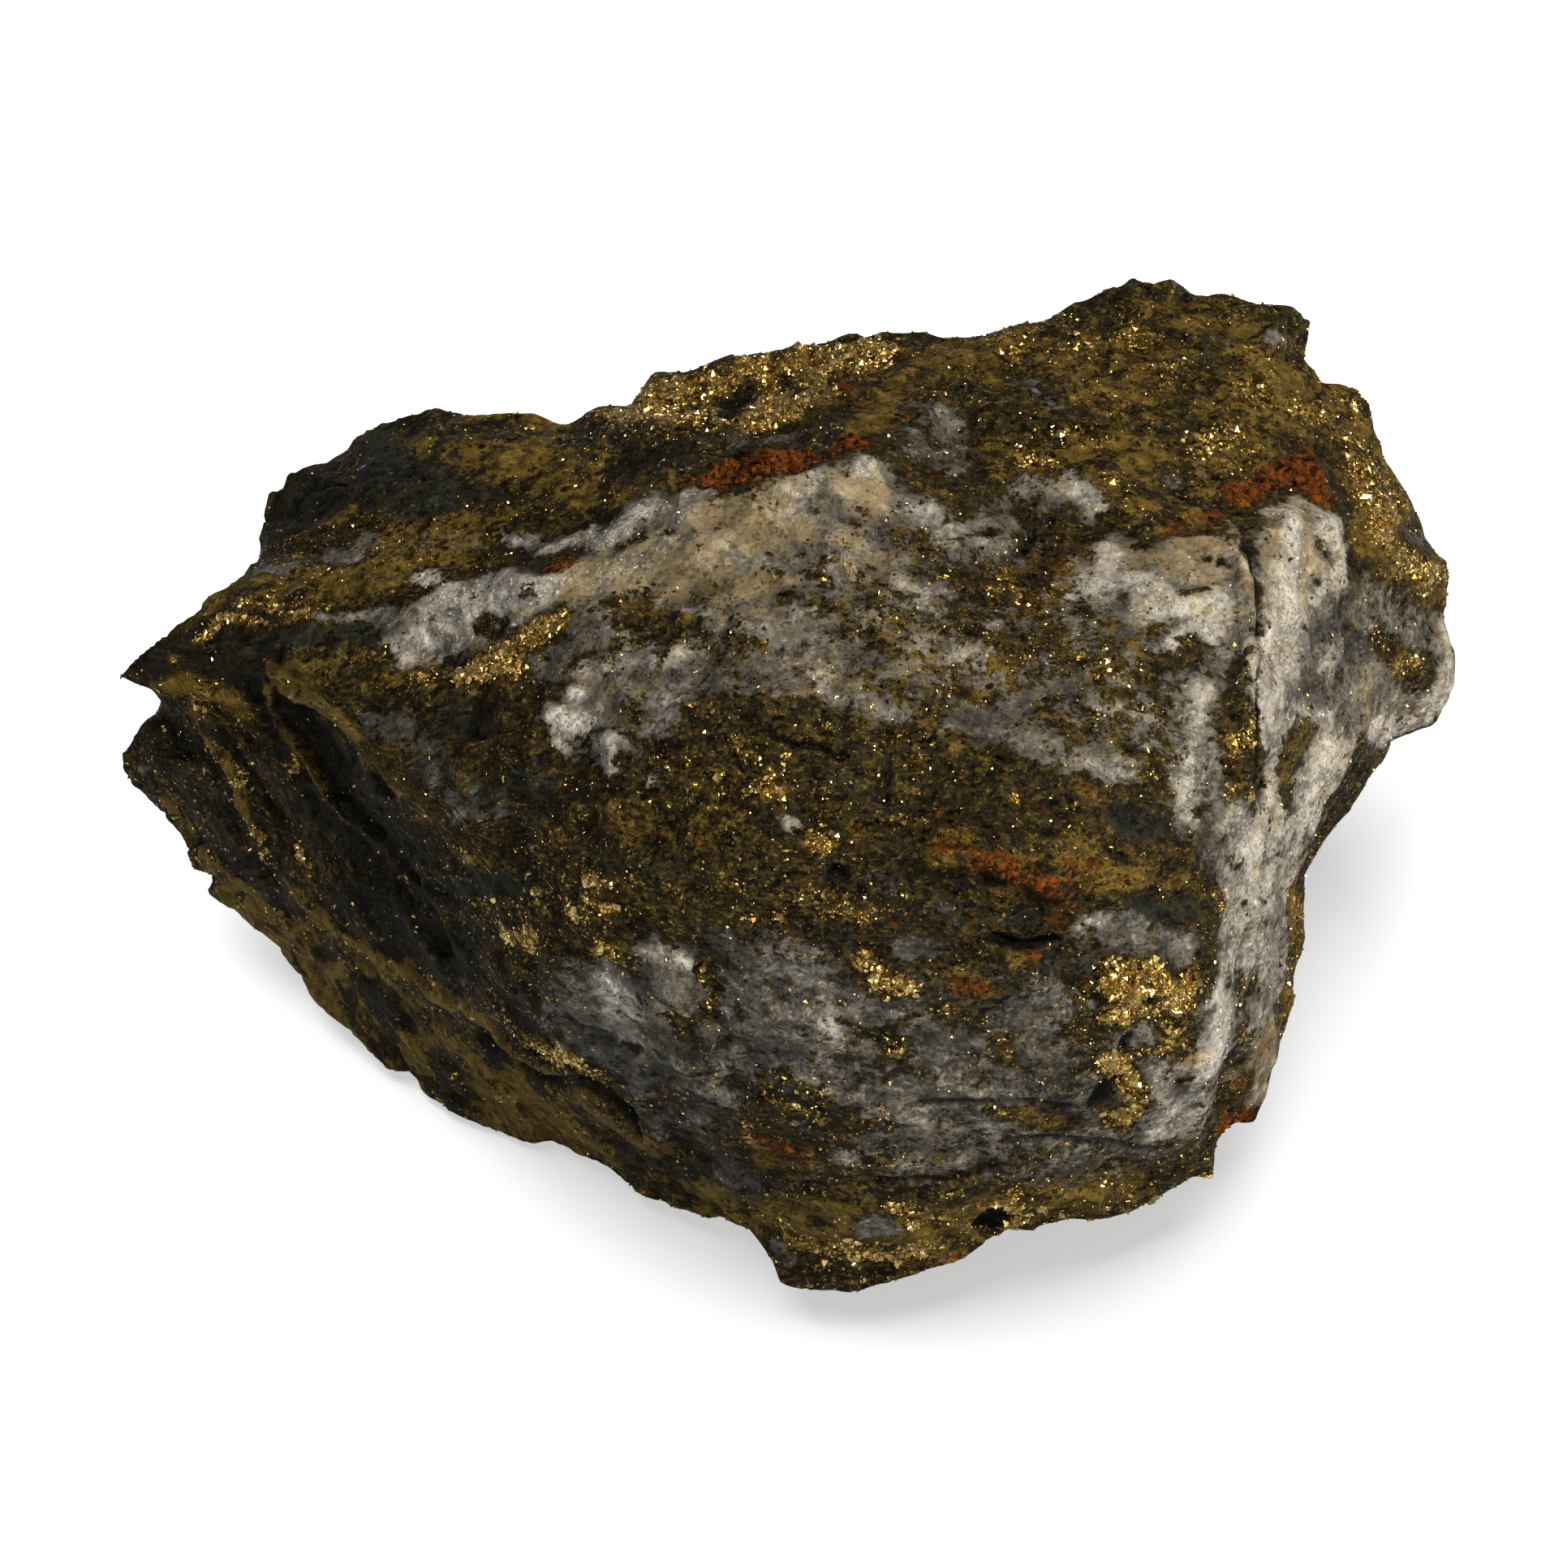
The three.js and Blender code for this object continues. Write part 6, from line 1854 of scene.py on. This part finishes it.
@dataclass
class GrainCrop:
    """Many small grains of one mineral, grown into the skin where its field is strong, as one joined mesh."""

    name: str
    count: int
    shape: GrainShape
    smallest_mm: float
    largest_mm: float
    sink: float
    seed: int
    jitter: float = 0.28
    jitter_limit: float = 1.5
    thinnest: float = 0.6
    thickest: float = 1.25
    small_ones: float = 1.6

    def chances(self, fields: np.ndarray) -> np.ndarray:
        """Returns how likely a grain is at each point; each mineral says its own."""
        raise NotImplementedError

    def template(self) -> tuple[np.ndarray, np.ndarray]:
        """Returns one grain's points, about one unit across, and its faces."""
        if self.shape is GrainShape.CHIP:
            bpy.ops.mesh.primitive_ico_sphere_add(subdivisions=1, radius=0.5)
        else:
            bpy.ops.mesh.primitive_cone_add(vertices=4, radius1=0.55, depth=0.8)
            bpy.ops.object.mode_set(mode="EDIT")
            bpy.ops.mesh.quads_convert_to_tris()
            bpy.ops.object.mode_set(mode="OBJECT")
        start = bpy.context.object
        places = points_of(start.data)
        faces = np.array([tuple(face.vertices) for face in start.data.polygons])
        bpy.data.objects.remove(start)
        return places, faces

    def build(self, skin: Thing, fields: np.ndarray, material: bpy.types.Material) -> Thing:
        """Grows the grains.

        Args:
            skin: The finished skin.
            fields: The skin's fields, a row for each of its points.
            material: The grains' finish.

        Returns:
            The joined mesh's object.
        """
        random = np.random.default_rng(self.seed)
        places = points_of(skin.data)
        corners = np.array([tuple(face.vertices) for face in skin.data.polygons])
        a, b, c = (places[corners[:, side]] for side in range(3))
        across = np.cross(b - a, c - a)
        area = np.linalg.norm(across, axis=1)
        way = across / (area[:, None] + 1e-15)
        chance = self.chances(fields)[corners].mean(axis=1) * area
        chosen = random.choice(len(corners), self.count, p=chance / chance.sum())
        share = random.dirichlet((1.0, 1.0, 1.0), self.count)
        root = sum(share[:, side, None] * places[corners[chosen, side]] for side in range(3))
        growth = random.random(self.count) ** self.small_ones
        size = self.smallest_mm * (self.largest_mm / self.smallest_mm) ** growth
        size *= METRES_PER_MM
        centre = root - way[chosen] * (size * self.sink)[:, None]
        shape, faces = self.template()
        uneven = random.normal(size=(self.count, len(shape), 1)).clip(-self.jitter_limit, self.jitter_limit)
        grain = shape[None] * (1 + self.jitter * uneven)
        grain = grain * random.uniform(self.thinnest, self.thickest, (self.count, 1, 3))
        turns = self.turns(random)
        grain = np.einsum("nij,nkj->nki", turns, grain) * size[:, None, None] + centre[:, None, :]
        grain[:, :, 2] = np.maximum(grain[:, :, 2], 0.0)
        all_faces = (faces[None] + (np.arange(self.count) * len(shape))[:, None, None]).reshape(-1, 3)
        mesh = bpy.data.meshes.new(self.name)
        mesh.from_pydata(grain.reshape(-1, 3), [], all_faces)
        store(mesh, "tone", np.repeat(random.random(self.count), len(shape)))
        mesh.materials.append(material)
        piece = bpy.data.objects.new(self.name, mesh)
        bpy.context.scene.collection.objects.link(piece)
        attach(piece, BODY)
        log.info("%s: %d grains, %d faces", self.name, self.count, len(mesh.polygons))
        return piece

    def turns(self, random: np.random.Generator) -> np.ndarray:
        """Returns a random turn for each grain, as a stack of matrices."""
        quaternion = random.normal(size=(self.count, 4))
        quaternion /= np.linalg.norm(quaternion, axis=1)[:, None]
        w, x, y, z = quaternion.T
        return np.stack([
            np.stack([1 - 2 * (y * y + z * z), 2 * (x * y - w * z), 2 * (x * z + w * y)], axis=1),
            np.stack([2 * (x * y + w * z), 1 - 2 * (x * x + z * z), 2 * (y * z - w * x)], axis=1),
            np.stack([2 * (x * z - w * y), 2 * (y * z + w * x), 1 - 2 * (x * x + y * y)], axis=1),
        ], axis=1)


@dataclass
class FinePyrite(GrainCrop):
    """The scattered glints of the groundmass."""

    def chances(self, fields: np.ndarray) -> np.ndarray:
        """Returns more grains where pyrite is richer, and a few everywhere else."""
        return fields[:, Field.PYRITE.value] ** 1.6 + 0.01


@dataclass
class RichPyrite(GrainCrop):
    """The crowded grains of the golden patches."""

    def chances(self, fields: np.ndarray) -> np.ndarray:
        """Returns grains where pyrite is rich, and hardly any elsewhere."""
        return smooth_step(fields[:, Field.PYRITE.value], 0.55, 1.0) + 1e-5


@dataclass
class QuartzCrumbs(GrainCrop):
    """The sugary crumbs of the milky quartz."""

    def chances(self, fields: np.ndarray) -> np.ndarray:
        """Returns crumbs where quartz is milky."""
        milk = fields[:, Field.MILK.value] * fields[:, Field.QUARTZ.value]
        return smooth_step(milk, 0.36, 1.0) + 1e-5


@dataclass
class RustCrumbs(GrainCrop):
    """The earthy crumbs of the rusty patches."""

    def chances(self, fields: np.ndarray) -> np.ndarray:
        """Returns crumbs where rust is strong."""
        return smooth_step(fields[:, Field.RUST.value], 0.45, 0.9) + 1e-5


GLINT_FINISH = GrainFinish("pyrite_glint", deep=(0.10, 0.060, 0.012), light=(0.92, 0.65, 0.22),
                           metallic=1.0, specular=0.5, roughness=0.2, mottle=0.4)
PYRITE_FINISH = GrainFinish("pyrite_grain", deep=(0.20, 0.115, 0.018), light=(0.98, 0.74, 0.29),
                            metallic=1.0, specular=0.5, roughness=0.27, mottle=0.5)
CRUMB_FINISH = GrainFinish("quartz_crumb", deep=(0.24, 0.22, 0.18), light=(0.64, 0.61, 0.54),
                           metallic=0.0, specular=0.4, roughness=0.4, mottle=0.5)
RUST_FINISH = GrainFinish("rust_crumb", deep=(0.012, 0.004, 0.002), light=(0.21, 0.06, 0.008),
                          metallic=0.0, specular=0.1, roughness=0.9, mottle=0.9)


@dataclass(frozen=True)
class Lamp:
    """A square light that is turned to the stone's heart, for the floor alone or for all but the floor."""

    name: str
    place: Point
    size: float
    power: float
    colour: Colour = (1.0, 1.0, 1.0)
    floor_alone: bool = False

    def make(self, reach: bpy.types.Collection) -> None:
        """Adds the light and lets it reach only what the collection says."""
        bpy.ops.object.light_add(type="AREA", location=self.place)
        light = bpy.context.object
        light.name = self.name
        light.data.size = self.size
        light.data.energy = self.power
        light.data.color = self.colour
        heart = Vector(EYE.heart_mm) * METRES_PER_MM
        light.rotation_euler = (Vector(self.place) - heart).to_track_quat("Z", "Y").to_euler()
        light.light_linking.receiver_collection = reach


LAMPS = (
    Lamp("key", place=(0.44, -0.20, 0.64), size=0.27, power=7.0, colour=(1.0, 0.93, 0.82)),
    Lamp("fill", place=(-0.5, -0.6, 0.7), size=0.6, power=0.8),
    Lamp("front", place=(-0.45, -0.75, 0.22), size=0.16, power=1.3),
    Lamp("above", place=(-0.05, 0.09, 0.6), size=0.62, power=6.0, floor_alone=True),
)


@dataclass(frozen=True)
class Studio:
    """A pale floor lit from straight above, and for the stone a key, a soft fill and a low front light."""

    floor_size: float = 6.0
    floor_glow: float = 0.54
    floor_white: float = 0.8
    floor_bounce: float = 0.46
    world_light: float = 0.12

    def build(self) -> None:
        """Adds the floor, the lights and the world."""
        floor = self.make_floor()
        only_floor = self.floor_collection("floor_alone", floor, "INCLUDE")
        not_floor = self.floor_collection("floor_left_out", floor, "EXCLUDE")
        for lamp in LAMPS:
            lamp.make(only_floor if lamp.floor_alone else not_floor)
        self.make_world()
        bpy.context.scene.view_settings.view_transform = "Standard"
        log.info("studio: floor, %d lights and world", len(LAMPS))

    def floor_collection(self, name: str, floor: Thing, state: str) -> bpy.types.Collection:
        """Returns a collection that makes a light reach only the floor, or everything else."""
        collection = bpy.data.collections.new(name)
        collection.objects.link(floor)
        collection.collection_objects[0].light_linking.link_state = state
        return collection

    def matt(self, graph: Graph, white: float) -> Socket:
        """Returns a matt grey shader of that whiteness."""
        shader = graph.add("ShaderNodeBsdfDiffuse")
        shader.inputs["Color"].default_value = (white, white, white, 1.0)
        return shader.outputs[0]

    def make_floor(self) -> Thing:
        """Returns the floor that the stone rests on, white to the eye and grey to everything else."""
        bpy.ops.object.select_all(action="DESELECT")
        bpy.ops.mesh.primitive_plane_add(size=self.floor_size, location=(0.0, 0.0, 0.0))
        floor = bpy.context.object
        floor.name = "floor"
        material, graph, shader = new_material("floor_white")
        graph.tree.nodes.remove(shader)
        glow = graph.add("ShaderNodeEmission")
        glow.inputs["Strength"].default_value = self.floor_glow
        both = graph.add("ShaderNodeAddShader")
        graph.feed(both.inputs[0], self.matt(graph, self.floor_white))
        graph.feed(both.inputs[1], glow.outputs[0])
        choice = graph.for_eye(self.matt(graph, self.floor_bounce), both.outputs[0])
        graph.feed(graph.tree.nodes["Material Output"].inputs["Surface"], choice)
        floor.data.materials.append(material)
        return floor

    def make_world(self) -> None:
        """Adds a world that is white to the eye and dim to the stone."""
        world = bpy.data.worlds.new("room")
        bpy.context.scene.world = world
        world.use_nodes = True
        graph = Graph(world.node_tree)
        dim = graph.tree.nodes["Background"]
        white = graph.add("ShaderNodeBackground")
        for background in (dim, white):
            background.inputs["Color"].default_value = (1.0, 1.0, 1.0, 1.0)
        dim.inputs["Strength"].default_value = self.world_light
        choice = graph.for_eye(dim.outputs[0], white.outputs[0])
        graph.feed(graph.tree.nodes["World Output"].inputs["Surface"], choice)


def main() -> None:
    """Builds the stone's skin, its grains and the studio."""
    logging.basicConfig(level=logging.INFO, format="%(name)s: %(message)s")
    EYE.make_camera()
    maker = Skin()
    skin = maker.build()
    skin.data.materials.append(OreFinish().make(SharedGroups()))
    glint = GLINT_FINISH.make()
    crops = (
        (FinePyrite("pyrite_grains_fine", count=33000, shape=GrainShape.SPARK, smallest_mm=0.12,
                    largest_mm=0.36, sink=0.1, seed=11), glint),
        (FinePyrite("pyrite_grains_tiny", count=18000, shape=GrainShape.SPARK, smallest_mm=0.10,
                    largest_mm=0.24, sink=0.0, seed=15), glint),
        (RichPyrite("pyrite_grains_rich", count=9500, shape=GrainShape.CHIP, smallest_mm=0.25,
                    largest_mm=0.9, sink=0.2, seed=12), PYRITE_FINISH.make()),
        (QuartzCrumbs("quartz_crumbs", count=9000, shape=GrainShape.CHIP, smallest_mm=0.14,
                      largest_mm=0.5, sink=0.3, seed=13), CRUMB_FINISH.make()),
        (RustCrumbs("rust_crumbs", count=3000, shape=GrainShape.CHIP, smallest_mm=0.25,
                    largest_mm=1.05, sink=0.3, seed=14), RUST_FINISH.make()),
    )
    for crop, material in crops:
        crop.build(skin, maker.fields, material)
    Studio().build()


if __name__ == "__main__":
    main()
